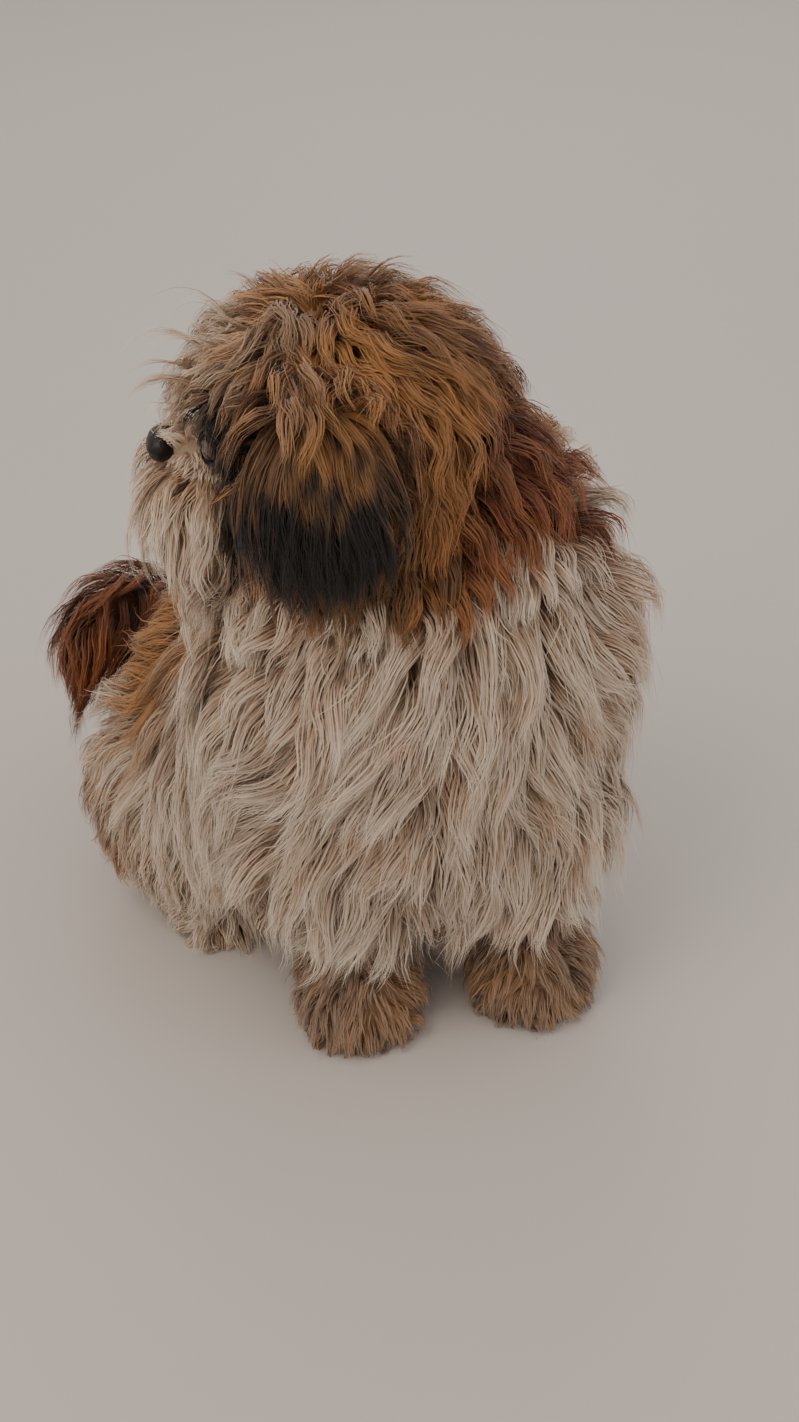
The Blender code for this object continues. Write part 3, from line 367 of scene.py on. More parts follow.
def fuse(thing, voxel, smooth):
    step = thing.modifiers.new("fuse", "REMESH")
    step.mode = "VOXEL"
    step.voxel_size = voxel
    soften = thing.modifiers.new("soften", "SMOOTH")
    soften.factor = 0.5
    soften.iterations = smooth
    applyModifiers(thing)


def carve(thing, tool, operation="DIFFERENCE"):
    step = thing.modifiers.new("carve", "BOOLEAN")
    step.operation = operation
    step.solver = "MANIFOLD"
    step.object = tool
    applyModifiers(thing)
    bpy.data.objects.remove(tool, do_unlink=True)


def smoothRows(rows, fine):
    # a smooth curve through every row, each gap in that many steps
    rows = np.array(rows, dtype=float)
    result = []
    for i in range(len(rows) - 1):
        before, here, after = rows[max(i - 1, 0)], rows[i], rows[i + 1]
        beyond = rows[min(i + 2, len(rows) - 1)]
        for k in range(fine):
            t = k / fine
            result.append(0.5 * (2 * here + (after - before) * t
                                 + (2 * before - 5 * here + 4 * after - beyond) * t ** 2
                                 + (3 * here - before - 3 * after + beyond) * t ** 3))
    result.append(rows[-1])
    return np.array(result)


def ringsOf(rows, sides):
    # rows hold centre, half width, half depth and the turn of the width in degrees
    rings = []
    for i, row in enumerate(rows):
        way = unit(rows[min(i + 1, len(rows) - 1)][:3] - rows[max(i - 1, 0)][:3])
        turn = math.radians(row[5])
        wide = np.array((math.cos(turn), math.sin(turn), 0.0))
        wide = unit(wide - way * np.dot(wide, way))
        deep = np.cross(wide, way)
        angles = np.arange(sides) * 2 * math.pi / sides
        rings.append(row[:3] + row[3] * np.cos(angles)[:, None] * wide
                     + row[4] * np.sin(angles)[:, None] * deep)
    return rings


bodyForm = dict(
    trunk=(
        (0.026, 0.046, 0.250, 0.056, 0.050, 0.0),
        (0.021, 0.042, 0.214, 0.079, 0.062, 0.0),
        (0.012, 0.040, 0.168, 0.083, 0.070, 2.0),
        (0.004, 0.053, 0.122, 0.085, 0.077, 8.0),
        (-0.010, 0.089, 0.103, 0.085, 0.079, 15.0),
        (-0.028, 0.130, 0.080, 0.083, 0.080, 20.0),
        (-0.045, 0.167, 0.057, 0.068, 0.064, 22.0),
        (-0.056, 0.192, 0.047, 0.046, 0.046, 22.0),
    ),
    trunkEnd=(-0.064, 0.212, 0.041), inset=0.004, voxel=0.0030,
    neckFrom=(0.027, 0.043, 0.205), neckTo=(-0.006, 0.045, 0.296), neckRadius=0.051,
)
pawForm = dict(
    # place and turn of each fore paw; the shank's rows hold height, radius and lean to the back
    fore=((0.046, -0.012, -22.0), (-0.039, -0.004, -8.0)), paw=(0.025, 0.029, 0.018),
    shank=((0.010, 0.0165, 0.006), (0.035, 0.0160, 0.007), (0.070, 0.0185, 0.012), (0.105, 0.026, 0.020)),
    toe=(0.0072, 0.0105, 0.0088), toeHeight=0.0092, foreToes=(0.0145, 0.021), hindToes=(0.0125, 0.026),
    thighOut=0.077, thighForward=0.004, thighHeight=0.058, thigh=(0.026, 0.046, 0.043),
    kneeAhead=0.030, kneeOut=-0.002, kneeDown=-0.006, knee=(0.019, 0.026, 0.032),
    footOut=0.071, footForward=0.024, foot=(0.019, 0.034, 0.0165), seat=(-0.040, 0.148), sunk=0.0005,
)
tailArc = np.array((
    # places from root to tip, with the radius
    (-0.050, 0.180, 0.045, 0.016), (-0.058, 0.192, 0.060, 0.0145), (-0.072, 0.216, 0.082, 0.0125),
    (-0.090, 0.225, 0.106, 0.0110), (-0.108, 0.215, 0.123, 0.0095), (-0.123, 0.198, 0.126, 0.0080),
    (-0.133, 0.186, 0.117, 0.0055),
))


def hindPlaces(sign):
    # the middles of the thigh and the foot, on the dog's left (1) or right (-1)
    form = pawForm
    seat = np.array((*form["seat"], 0.0))
    thigh = seat + sign * form["thighOut"] * hipLeft - form["thighForward"] * tailward
    foot = seat + sign * form["footOut"] * hipLeft - form["footForward"] * tailward
    return thigh + upward * form["thighHeight"], foot + upward * (form["foot"][2] - form["sunk"])


def allToes():
    # four toes side by side at the front of each paw, the middle two ahead
    form = pawForm
    paws = [(x, y, turnedAxes(turn), form["foreToes"]) for x, y, turn in form["fore"]]
    paws += [(*hindPlaces(sign)[1][:2], hipAxes, form["hindToes"]) for sign in (1.0, -1.0)]
    toes = []
    for x, y, axes, (width, reach) in paws:
        centre = np.array((x, y, form["toeHeight"]))
        for across in [(k - 1.5) / 1.5 for k in range(4)]:
            local = np.array((across * width, -reach * (1 - 0.22 * across * across), 0.0))
            toes.append((centre + local @ axes, axes, across))
    return toes


def makeBody():
    form = bodyForm
    rows = smoothRows(form["trunk"], 4)
    rows[:, 3:5] -= form["inset"]
    clay = Clay().loft(ringsOf(rows, 40), tip=form["trunkEnd"])
    start, end = np.array(form["neckFrom"]), np.array(form["neckTo"])
    radius = form["neckRadius"]
    neck = [(*(start + (end - start) * t), radius, radius, 0.0) for t in (0.0, 0.35, 0.7, 1.0)]
    clay.loft(ringsOf(np.array(neck), 32))
    paws = pawForm
    for x, y, turn in paws["fore"]:
        shank = [(x, y + lean, z, radius, radius, 0.0) for z, radius, lean in paws["shank"]]
        clay.loft(ringsOf(np.array(shank), 24))
        clay.ball((x, y, paws["paw"][2] - paws["sunk"]), paws["paw"], turnedAxes(turn))
    for sign in (1.0, -1.0):
        thigh, foot = hindPlaces(sign)
        clay.ball(thigh, paws["thigh"], hipAxes)
        knee = thigh + upward * paws["kneeDown"] - tailward * paws["kneeAhead"]
        clay.ball(knee + sign * hipLeft * paws["kneeOut"], paws["knee"], hipAxes)
        clay.ball(foot, paws["foot"], hipAxes)
    for place, axes, _ in allToes():
        clay.ball(place, paws["toe"], axes, segments=16)
    arc = np.array([(x, y, z, radius, radius, 0.0) for x, y, z, radius in tailArc])
    clay.loft(ringsOf(smoothRows(arc, 4), 16))
    body = clay.finish("skin")
    fuse(body, form["voxel"], 5)
    return body


headForm = dict(
    # middle and radii of each form in the head's axes
    skull=((-0.010, 0.0, 0.003), (0.056, 0.048, 0.049)),
    brow=((0.021, 0.0, 0.014), (0.027, 0.036, 0.026)),
    cheeks=((0.016, 0.0, -0.014), (0.033, 0.041, 0.031)),
    muzzle=((0.0440, 0.0, -0.0135), (0.0240, 0.0250, 0.0175)),
    bridge=((0.050, 0.0, 0.000), (0.0180, 0.0105, 0.0085)),
    jaw=((0.038, 0.0, -0.030), (0.0215, 0.0190, 0.0115)),
    lip=((0.0525, 0.0108, -0.0165), (0.0138, 0.0122, 0.0105)),
    nose=((0.0685, 0.0, -0.001), (0.0075, 0.0098, 0.0074)),
    moustache=((0.054, 0.014, -0.028), (0.020, 0.019, 0.022)),
    # the left eye's way out, the lids and their opening, and the mouth as a ring round the jaw
    gaze=(0.90, 0.43, 0.02), eyeRadius=0.0088, lidThick=0.0021, eyeRoom=0.0002,
    lidsAhead=0.0090, lidsOpening=(0.0080, 0.0080, 0.0064),
    mouthMiddle=0.036, mouthLong=0.0275, mouthWide=0.0240, mouthHeight=-0.0245,
    mouthDeep=0.0060, mouthOpen=0.0010, mouthFrom=0.03, mouthHalf=0.034,
    voxel=0.0014, bedVoxel=0.0020,
)
earForm = dict(
    root=(-0.002, 0.049, 0.034), tip=(0.006, 0.069, -0.026),
    halfWidths=(0.014, 0.024, 0.027, 0.022, 0.010),
    thick=0.0048, cup=0.007, belly=0.010, lobe=0.030,
)


def earFrame(side):
    root = fromHead(earForm["root"], side)
    tip = fromHead(earForm["tip"], side)
    down = unit(tip - root)
    out = side * headAxes[1] + upward * 0.2
    out = unit(out - down * np.dot(out, down))
    return root, tip, out, np.cross(down, out)


def earPoint(side, along, across):
    # a place on the outer face of the ear flap; along 0 root to 1 tip, across -1 to 1
    root, tip, out, wide = earFrame(side)
    half = np.interp(along, np.linspace(0, 1, 5), earForm["halfWidths"])
    bend = earForm["cup"] * (1 - across ** 2) * np.sin(math.pi * (0.25 + 0.6 * along))
    swell = earForm["belly"] * np.sin(math.pi * along)
    return (root + (tip - root) * along[..., None] + wide * (half * across)[..., None]
            + out * (bend + swell)[..., None])


def earRings(side, thickness):
    out = earFrame(side)[2]
    across = np.linspace(-1, 1, 15)
    rings = []
    for along in np.linspace(0, 1, 13):
        outer = earPoint(side, np.full(15, along), across)
        inner = outer - out * (thickness * (1 - 0.5 * across ** 2))[:, None]
        rings.append(np.concatenate((outer, inner[::-1])))
    return rings


def makeHead():
    form = headForm
    clay = Clay()
    for key in ("skull", "brow", "cheeks", "muzzle", "bridge", "jaw"):
        centre, radii = form[key]
        clay.ball(fromHead(centre), radii, headAxes, 40)
    lid = form["eyeRadius"] + form["lidThick"]
    for side in (1.0, -1.0):
        centre, radii = form["lip"]
        clay.ball(fromHead(centre, side), radii, headAxes)
        clay.ball(fromHead(eyePlace, side), (lid, lid, lid), headAxes)
        clay.loft(earRings(side, earForm["thick"]))
    head = clay.finish("head_clay")
    fuse(head, form["voxel"], 4)
    return head


def makeBed(body, head):
    # what the coat lies on: the smooth body, and the head with its ear lobes and moustache rolls
    lobes = Clay()
    lobes.editor.from_mesh(head.data)
    centre, radii = headForm["moustache"]
    for side in (1.0, -1.0):
        lobes.loft(earRings(side, earForm["lobe"]))
        lobes.ball(fromHead(centre, side), radii, headAxes)
    thing = lobes.finish("soft_lobes")
    fuse(thing, headForm["bedVoxel"], 6)
    meshes = (body.data.copy(), thing.data.copy())
    bpy.data.objects.remove(thing, do_unlink=True)
    return meshes


def gaze(side):
    # the way an eye looks, and the way to its left
    forward, left, up = headForm["gaze"]
    look = unit(np.array((forward, side * left, up))) @ headAxes
    return look, unit(np.cross(upward, look))


def carveFace(head):
    # the eyes' sockets first, then the openings between the lids and the mouth
    form = headForm
    room = form["eyeRadius"] + form["eyeRoom"]
    for name, radii, ahead in (("sockets", (room, room, room), 0.0),
                               ("openings", form["lidsOpening"], form["lidsAhead"])):
        tools = Clay()
        for side in (1.0, -1.0):
            look, left = gaze(side)
            tools.ball(fromHead(eyePlace, side) + look * ahead, radii, np.array((look, left, upward)), 36)
        if name == "openings":
            tools.loft(mouthRings(), closed=True)
        carve(head, tools.finish(name))


def mouthRings():
    form = headForm
    rings = []
    for angle in np.linspace(0, 2 * math.pi, 48, endpoint=False):
        outward = np.array((math.cos(angle), math.sin(angle), 0.0))
        middle = outward * (form["mouthLong"], form["mouthWide"], 0.0) + (form["mouthMiddle"], 0.0,
                                                                         form["mouthHeight"])
        rings.append([fromHead(middle + outward * form["mouthDeep"] * math.cos(roll)
                               + upward * form["mouthOpen"] * math.sin(roll))
                      for roll in [2 * math.pi * k / 8 for k in range(8)]])
    return rings


skin = makeBody()
headSkin = makeHead()
bedMeshes = makeBed(skin, headSkin)
carveFace(headSkin)
carve(skin, headSkin, "UNION")
skin.data.name = "skin"
print("scene: skin fused,", len(skin.data.polygons), "faces")


def unwrapSkin():
    bpy.context.view_layer.objects.active = skin
    skin.select_set(True)
    bpy.ops.object.mode_set(mode="EDIT")
    bpy.ops.mesh.select_all(action="SELECT")
    bpy.ops.mesh.quads_convert_to_tris()
    bpy.ops.uv.smart_project(angle_limit=math.radians(66), island_margin=0.002)
    bpy.ops.object.mode_set(mode="OBJECT")
    skin.data.uv_layers[0].name = "OFBake"


unwrapSkin()
print("scene: skin unwrapped")


class Surface:
    # meshes read as triangles, with smooth normals and a search for the nearest place
    def __init__(self, meshes):
        points, triangles, loops, start = [], [], [], 0
        for mesh in meshes:
            mesh.calc_loop_triangles()
            own = np.empty(len(mesh.vertices) * 3)
            mesh.vertices.foreach_get("co", own)
            points.append(own.reshape(-1, 3))
            sides = np.empty(len(mesh.loop_triangles) * 3, dtype=np.int32)
            mesh.loop_triangles.foreach_get("vertices", sides)
            triangles.append(sides.reshape(-1, 3) + start)
            mesh.loop_triangles.foreach_get("loops", sides)
            loops.append(sides.reshape(-1, 3))
            start += len(points[-1])
        self.points = np.concatenate(points)
        self.triangles = np.concatenate(triangles)
        self.loops = loops[0]
        self.tree = BVHTree.FromPolygons(self.points.tolist(), self.triangles.tolist())
        self.corner = self.points[self.triangles]
        crossed = np.cross(self.corner[:, 1] - self.corner[:, 0], self.corner[:, 2] - self.corner[:, 0])
        self.area = np.linalg.norm(crossed, axis=1) / 2
        self.faceNormal = unit(crossed)
        normal = np.zeros_like(self.points)
        for k in range(3):
            np.add.at(normal, self.triangles[:, k], crossed)
        self.normal = unit(normal)

    def normalsAt(self, faces, weights):
        return unit(np.einsum("nk,nkj->nj", weights, self.normal[self.triangles[faces]]))

    def nearest(self, points):
        # nearest places, smooth normals there, the triangles they lie in and the corners' weights
        places = np.empty_like(points)
        faces = np.zeros(len(points), dtype=np.int64)
        for i, point in enumerate(points):
            places[i], _, faces[i], _ = self.tree.find_nearest(point)
        weights = barycentric(places, *(self.corner[faces][:, k] for k in range(3)))
        return places, self.normalsAt(faces, weights), faces, weights


def barycentric(p, a, b, c):
    ab, ac, ap = b - a, c - a, p - a
    d00, d01, d11, d20, d21 = (np.sum(first * second, axis=1) for first, second in (
        (ab, ab), (ab, ac), (ac, ac), (ap, ab), (ap, ac)))
    base = np.maximum(d00 * d11 - d01 * d01, 1e-18)
    v = np.clip((d11 * d20 - d01 * d21) / base, 0, 1)
    w = np.clip((d00 * d21 - d01 * d20) / base, 0, 1)
    return np.stack((np.clip(1 - v - w, 0, 1), v, w), axis=1)


skinSurface = Surface([skin.data])
uvValues = np.empty(len(skin.data.loops) * 2)
skin.data.uv_layers["OFBake"].data.foreach_get("uv", uvValues)
skinUvs = uvValues.reshape(-1, 2)[skinSurface.loops]
bed = Surface(bedMeshes)
print("scene: surfaces read,", len(bed.triangles), "triangles under the coat")


# The lie of the coat

def eyeGap(points, centre):
    # the distance to a place in the head's axes that is there on both sides
    f, l, u = toHead(points).T
    return np.linalg.norm(np.stack((f, np.abs(l), u), axis=1) - centre, axis=1)


def mouthGap(points):
    # the height from the mouth line, and a long way off it
    f, l, u = toHead(points).T
    near = (f > headForm["mouthFrom"]) & (np.abs(l) < headForm["mouthHalf"])
    return np.where(near, np.abs(u - headForm["mouthHeight"]), 1.0)


growForm = dict(
    # where one kind of hair ends and the next begins
    headFrom=-0.004, headLow=0.225, tailFrom=-0.002,
    flapOut=0.052, flapLow=-0.045, flapHigh=0.040, flapHalf=0.040, flapFloor=0.24,
    flapRoot=0.012, skullRoom=1.10,
    faceFrom=0.026, faceTop=0.024, beardTop=-0.006, beardSlope=0.25, cheekBeard=-0.030,
    pawBack=0.003, foreleg=(0.034, 0.072),
    thigh=(0.033, 0.060, 0.052), thighInside=-0.012, foot=(0.026, 0.046, 0.026),
    # where no hair grows
    lids=(0.0485, 0.0275, 0.008), lidsBare=0.0098, noseBare=0.0078, lipsBare=0.0022, soleBare=0.0025,
)


def regionOf(points):
    # the name of the coat's region at each root
    form = growForm
    f, l, u = toHead(points).T
    z = points[:, 2]
    region = np.full(len(points), "trunk", dtype="U8")
    overNape = beyondSeam(points, napeSeam)
    region[overEdge(points, "collarEdge") > 0.0] = "neck"
    region[(overNape > form["headFrom"]) & (z > form["headLow"])] = "head"
    flap = (np.abs(l) > form["flapOut"]) & (np.abs(f) < form["flapHalf"]) & (z > form["flapFloor"])
    flap &= (u > form["flapLow"]) & (u < form["flapHigh"])
    centre, radii = headForm["skull"]
    offSkull = np.linalg.norm((toHead(points) - centre) / radii, axis=1) > form["skullRoom"]
    region[flap & (offSkull | (u < form["flapRoot"]))] = "ear"
    face = (overNape > 0) & (f > form["faceFrom"]) & (u < form["faceTop"])
    region[face] = "muzzle"
    lips = form["beardTop"] - form["beardSlope"] * np.maximum(0.045 - f, 0)
    region[face & (u < lips)] = "beard"
    region[(overNape > 0) & (f > 0) & (u < form["cheekBeard"])] = "beard"
    region[beyondTailSeam(points) > form["tailFrom"]] = "tail"
    reach, high = form["foreleg"]
    for x, y, _ in pawForm["fore"]:
        near = np.hypot(points[:, 0] - x, points[:, 1] - y - form["pawBack"])
        region[(near < reach) & (z < high)] = "foreleg"
    for sign in (1.0, -1.0):
        thigh, foot = hindPlaces(sign)
        onThigh = np.linalg.norm((points - thigh) @ hipAxes.T / form["thigh"], axis=1) < 1.0
        region[onThigh & ((points - thigh) @ hipLeft * sign > form["thighInside"])] = "hindleg"
        region[np.linalg.norm((points - foot) @ hipAxes.T / form["foot"], axis=1) < 1.0] = "hindleg"
    return region


def bareMask(points):
    # hair grows thin or not at all here: eyes, nose, lips, soles
    form = growForm
    nose = np.linalg.norm((toHead(points) - headForm["nose"][0]) / (1.0, 1.2, 1.0), axis=1)
    return ((eyeGap(points, form["lids"]) < form["lidsBare"]) | (nose < form["noseBare"])
            | (mouthGap(points) < form["lipsBare"]) | (points[:, 2] < form["soleBare"]))


def tangent(ways, normals):
    return unit(ways - normals * np.sum(ways * normals, axis=1, keepdims=True))


def swirled(fall, points, normals, waves):
    # the lie along the surface, swung to either side in slow patches
    swing = sum(softNoise(points, size, seed) * share for size, seed, share in waves)
    lie = tangent(fall, normals)
    return tangent(lie + np.cross(normals, lie) * swing[:, None], normals)


chestMiddle = 0.020
whorlBack = 0.006


def combTrunk(points, normals):
    # down, to the back over the rump, and in a fan to both sides over the chest
    behind = smoothStep(0.06, 0.13, points[:, 1])[:, None]
    front = smoothStep(0.045, 0.0, points[:, 1])[:, None]
    fall = -upward + tailward * 0.8 * behind + normals * 0.1
    spread = np.zeros_like(points)
    aside = points[:, 0] - chestMiddle
    spread[:, 0] = np.where(aside < 0, aside * 13.0, aside * 7.0)
    return swirled(fall + spread * front, points, normals, ((0.075, 11, 0.40), (0.030, 12, 0.34)))


def combNeck(points, normals):
    f = toHead(points)[:, 0]
    fall = -upward + normals * 0.35 + headAxes[0] * (0.25 * smoothStep(0.0, -0.03, f))[:, None]
    return swirled(fall, points, normals, ((0.05, 13, 0.35), (0.022, 23, 0.22)))


def combHead(points, normals):
    # out from a whorl on the crown on every side, tousled near it, then down
    f, l, u = toHead(points).T
    away = np.stack((f + whorlBack, l, np.zeros(len(f))), axis=1)
    tousle = np.exp(-(np.hypot(f + whorlBack, l) / 0.024) ** 2) * 0.034
    for axis, seed in ((0, 33), (1, 34)):
        away[:, axis] += softNoise(points, 0.012, seed) * tousle
    away = unit(away) @ headAxes
    top = smoothStep(0.000, 0.042, u)[:, None]
    fall = -upward * (1.0 - 0.5 * top) + away * (0.15 + 0.85 * top)
    fall = fall + headAxes[0] * (0.25 * smoothStep(0.0, -0.04, f) * smoothStep(0.01, -0.02, u))[:, None]
    return swirled(fall, points, normals, ((0.045, 14, 0.42), (0.02, 15, 0.2)))


def combMuzzle(points, normals):
    # up off the bridge to both sides, and out round the eyes
    f, l, u = toHead(points).T
    bridge = smoothStep(-0.010, 0.002, u) * smoothStep(0.018, 0.010, np.abs(l))
    brow = smoothStep(0.012, 0.020, u) * smoothStep(0.012, 0.020, np.abs(l))
    up = (-0.9 + 1.6 * bridge) * (1 - brow) - 0.3 * brow
    out = np.tanh(l / 0.005) * (0.55 + 0.2 * bridge)
    ahead = 0.1 * (1 - bridge) - 0.25 * bridge + 0.3 * brow + 0.9 * smoothStep(0.050, 0.060, f)
    return swirled(np.stack((ahead, out, up), axis=1) @ headAxes, points, normals, ((0.03, 16, 0.2),))


def combBeard(points, normals):
    # moustache and beard: out over the lips and down
    f, l, u = toHead(points).T
    ahead = 0.30 * smoothStep(0.020, 0.050, f)
    fall = -upward + headAxes[1] * (np.tanh(l / 0.010) * 0.35)[:, None] + headAxes[0] * ahead[:, None]
    return swirled(fall, points, normals, ((0.03, 24, 0.3), (0.014, 25, 0.15)))


def combPaw(points, normals):
    fall = -upward + unit(normals * np.array((1.0, 1.0, 0.0))) * 0.55
    return swirled(fall, points, normals, ((0.02, 17, 0.35),))


def combThigh(points, normals):
    return swirled(-upward + tailward * 0.25, points, normals, ((0.03, 18, 0.4),))


def combTail(points, normals):
    # along the tail to its tip, and over to both sides as it goes
    arc = smoothRows(tailArc[:, :3], 6)
    gaps = np.linalg.norm(points[:, None, :] - arc[None, :, :], axis=2)
    near = np.clip(gaps.argmin(axis=1), 1, len(arc) - 2)
    way = unit(arc[near + 1] - arc[near - 1])
    fall = way * 0.8 - upward * 0.55 + np.array((-0.35, -0.12, 0.0)) + normals * 0.3
    return swirled(fall, points, normals, ((0.03, 19, 0.45),))


def combEar(points, normals):
    f, l, u = toHead(points).T
    side = np.where(l > 0, 1.0, -1.0)[:, None]
    fall = -upward + headAxes[0] * ((f - 0.004) * 9.0)[:, None] + side * headAxes[1] * 0.12
    return tangent(fall, normals)


combs = dict(trunk=combTrunk, neck=combNeck, head=combHead, muzzle=combMuzzle, beard=combBeard,
             foreleg=combPaw, hindleg=combThigh, tail=combTail, ear=combEar)


# Growing locks of hair

def scatter(mask, spacing, rng):
    # even, random roots over the skin's triangles that a mask picks out
    chosen = np.nonzero(mask)[0]
    area = skinSurface.area[chosen]
    wanted = int(area.sum() / spacing ** 2 * 3.0)
    faces = rng.choice(chosen, size=wanted, p=area / area.sum())
    r1, r2 = np.sqrt(rng.random(wanted)), rng.random(wanted)
    weights = np.stack((1 - r1, r1 * (1 - r2), r1 * r2), axis=1)
    points = np.einsum("nk,nkj->nj", weights, skinSurface.corner[faces])
    taken = {}
    kept = []
    near = (spacing * 0.78) ** 2
    offsets = [(i, j, k) for i in (-1, 0, 1) for j in (-1, 0, 1) for k in (-1, 0, 1)]
    keys = np.floor(points / spacing).astype(int).tolist()
    places = points.tolist()
    for n, (a, b, c) in enumerate(keys):
        x, y, z = places[n]
        crowd = [q for i, j, k in offsets for q in taken.get((a + i, b + j, c + k), ())]
        if all((x - p) ** 2 + (y - q) ** 2 + (z - r) ** 2 >= near for p, q, r in crowd):
            taken.setdefault((a, b, c), []).append((x, y, z))
            kept.append(n)
    return points[kept], faces[kept], weights[kept]


def growGuides(points, normals, comb, look, rng, lengths):
    # the middle line of each lock: up out of the skin, over along the lie, resting on the body
    count = len(points)
    steps = look["steps"]
    layer = look["bed"] * rng.uniform(0.25, 1.0, count)
    step = (lengths / steps)[:, None]
    lift = look["lift"] * rng.uniform(0.7, 1.25, count)[:, None]
    way = unit(comb(points, normals) + normals * lift)
    here = points - normals * look["sink"]
    path = [here]
    outs = [normals]
    phase = rng.uniform(0, 2 * math.pi, count)
    turns = lengths / (look["waveMm"] * mm)
    place, out = points, normals
    for k in range(steps):
        share = (k + 1) / steps
        height = np.sum((here - place) * out, axis=1)
        hang = smoothStep(look["proud"] * 0.7, look["proud"] * 1.6, height)[:, None]
        pull = comb(place, out) * look["comb"] * (1 - 0.6 * hang)
        flick = out * look["flick"] * max(share - 0.55, 0.0)
        way = unit(way + pull + flick - upward * (look["droop"] * share + 0.4 * hang))
        side = unit(np.cross(way, out))
        swing = np.cos(phase + turns * share * 2 * math.pi)[:, None] * look["wave"]
        here = here + unit(way + side * swing) * step
        place, out, _, _ = bed.nearest(here)
        height = np.sum((here - place) * out, axis=1)
        low = layer * math.sin(math.pi * min(share * 0.9 + 0.1, 0.5))
        here = here + out * np.maximum(low - height, 0.0)[:, None]
        over = np.maximum(height - look["proud"], 0.0) * look["cling"] * (out[:, 2] > -0.25)
        here = here - out * (over * (1 - share))[:, None]
        here[:, 2] = np.maximum(here[:, 2], 0.0012 + 0.001 * share)
        path.append(here)
        outs.append(out)
    return np.stack(path, axis=1), np.stack(outs, axis=1)


def lockStrands(path, outs, lengths, look, rng, density):
    # fine strands that start round each lock's root and gather towards its tip
    count, nodes = path.shape[:2]
    owner = np.repeat(np.arange(count), rng.poisson(look["strands"] * density))
    total = len(owner)
    t = np.linspace(0, 1, look["rings"])
    angle = rng.uniform(0, 2 * math.pi, total)
    far = np.sqrt(rng.random(total))
    radius = far * look["spread"]
    reach = 1.03 - look["ragged"] * (0.6 * far ** 1.5 + 0.4 * rng.random(total))
    u = np.clip(t[None, :] * reach[:, None], 0, 1) * (nodes - 1)
    low = np.minimum(u.astype(int), nodes - 2)
    part = (u - low)[..., None]
    first = owner[:, None]
    line = path[first, low] * (1 - part) + path[first, low + 1] * part
    out = unit(outs[first, low] * (1 - part) + outs[first, low + 1] * part)
    along = unit(np.gradient(line, axis=1))
    side = unit(np.cross(along, out))
    gather = 1 - look["gather"] * smoothStep(0.05, 0.95, t)
    across = (radius * np.cos(angle))[:, None] * gather[None, :]
    raised = (np.abs(np.sin(angle)) * look["thick"] * rng.uniform(0.2, 1, total))[:, None]
    raised = raised * np.sin(math.pi * np.minimum(t * 0.9 + 0.03, 1.0))[None, :]
    rootShift = (radius * np.sin(angle))[:, None] * (1 - t)[None, :] * 0.9
    # strands of one lock wave together, each a little off the others
    phase = rng.uniform(0, 2 * math.pi, count)[owner] + rng.normal(0, 0.45, total)
    turns = (lengths[owner] / (look["curlMm"] * mm))[:, None] * t[None, :] * 2 * math.pi
    curl = look["curl"] * t[None, :] * rng.uniform(0.6, 1.3, total)[:, None]
    loose = ((rng.random(total) < look["stray"]) * rng.uniform(0.3, 1.0, total))[:, None] * look["spread"]
    splay = rng.normal(0, 1, (total, 1)) * loose * 1.3 * t[None, :] ** 1.5
    proud = loose * 0.9 * t[None, :] ** 1.3
    line = line + side * (across + curl * np.cos(turns + phase[:, None]) + splay)[..., None]
    line = line + out * (raised + 0.6 * curl * np.sin(turns + phase[:, None]) + proud)[..., None]
    line = line + along * rootShift[..., None]
    line[:, :, 2] = np.maximum(line[:, :, 2], 0.0008)
    return line, out, owner, rng.uniform(0, 1, total)


def ribbonMesh(line, out, width, rng, taper):
    # flat strands: two edges from root to near the tip, and a point at the end
    total, rings = line.shape[:2]
    along = unit(np.gradient(line, axis=1))
    side = unit(np.cross(along, out))
    face = np.cross(side, along)
    roll = rng.normal(0, 0.38, total)[:, None, None]
    side = side * np.cos(roll) + face * np.sin(roll)
    t = np.linspace(0, 1, rings)
    shape = (0.65 + 0.55 * np.sin(math.pi * np.minimum(t * 1.1, 1.0))) * (1 - t ** taper)
    half = width[:, None, None] / 2 * shape[None, :, None]
    left = line - side * half
    right = line + side * half
    pairs = np.stack((left[:, :-1], right[:, :-1]), axis=2).reshape(total, -1, 3)
    points = np.concatenate((pairs, line[:, -1:]), axis=1)
    perStrand = points.shape[1]
    triangles = []
    for k in range(0, 2 * rings - 4, 2):
        triangles += [(k, k + 1, k + 3), (k, k + 3, k + 2)]
    triangles.append((2 * rings - 4, 2 * rings - 3, 2 * rings - 2))
    starts = (np.arange(total) * perStrand)[:, None, None]
    faces = (np.array(triangles)[None] + starts).reshape(-1, 3)
    share = np.concatenate((np.repeat(t[:-1], 2), [1.0]))
    edge = np.concatenate((np.tile((0.0, 1.0), rings - 1), [0.5]))
    return points.reshape(-1, 3), faces, np.tile(share, total), np.tile(edge, total), perStrand


def addMarks(mesh, coat, along):
    colours = mesh.color_attributes.new("coat", "FLOAT_COLOR", "POINT")
    colours.data.foreach_set("color", coat.astype(np.float32).ravel())
    share = mesh.attributes.new("along", "FLOAT", "POINT")
    share.data.foreach_set("value", along.astype(np.float32))


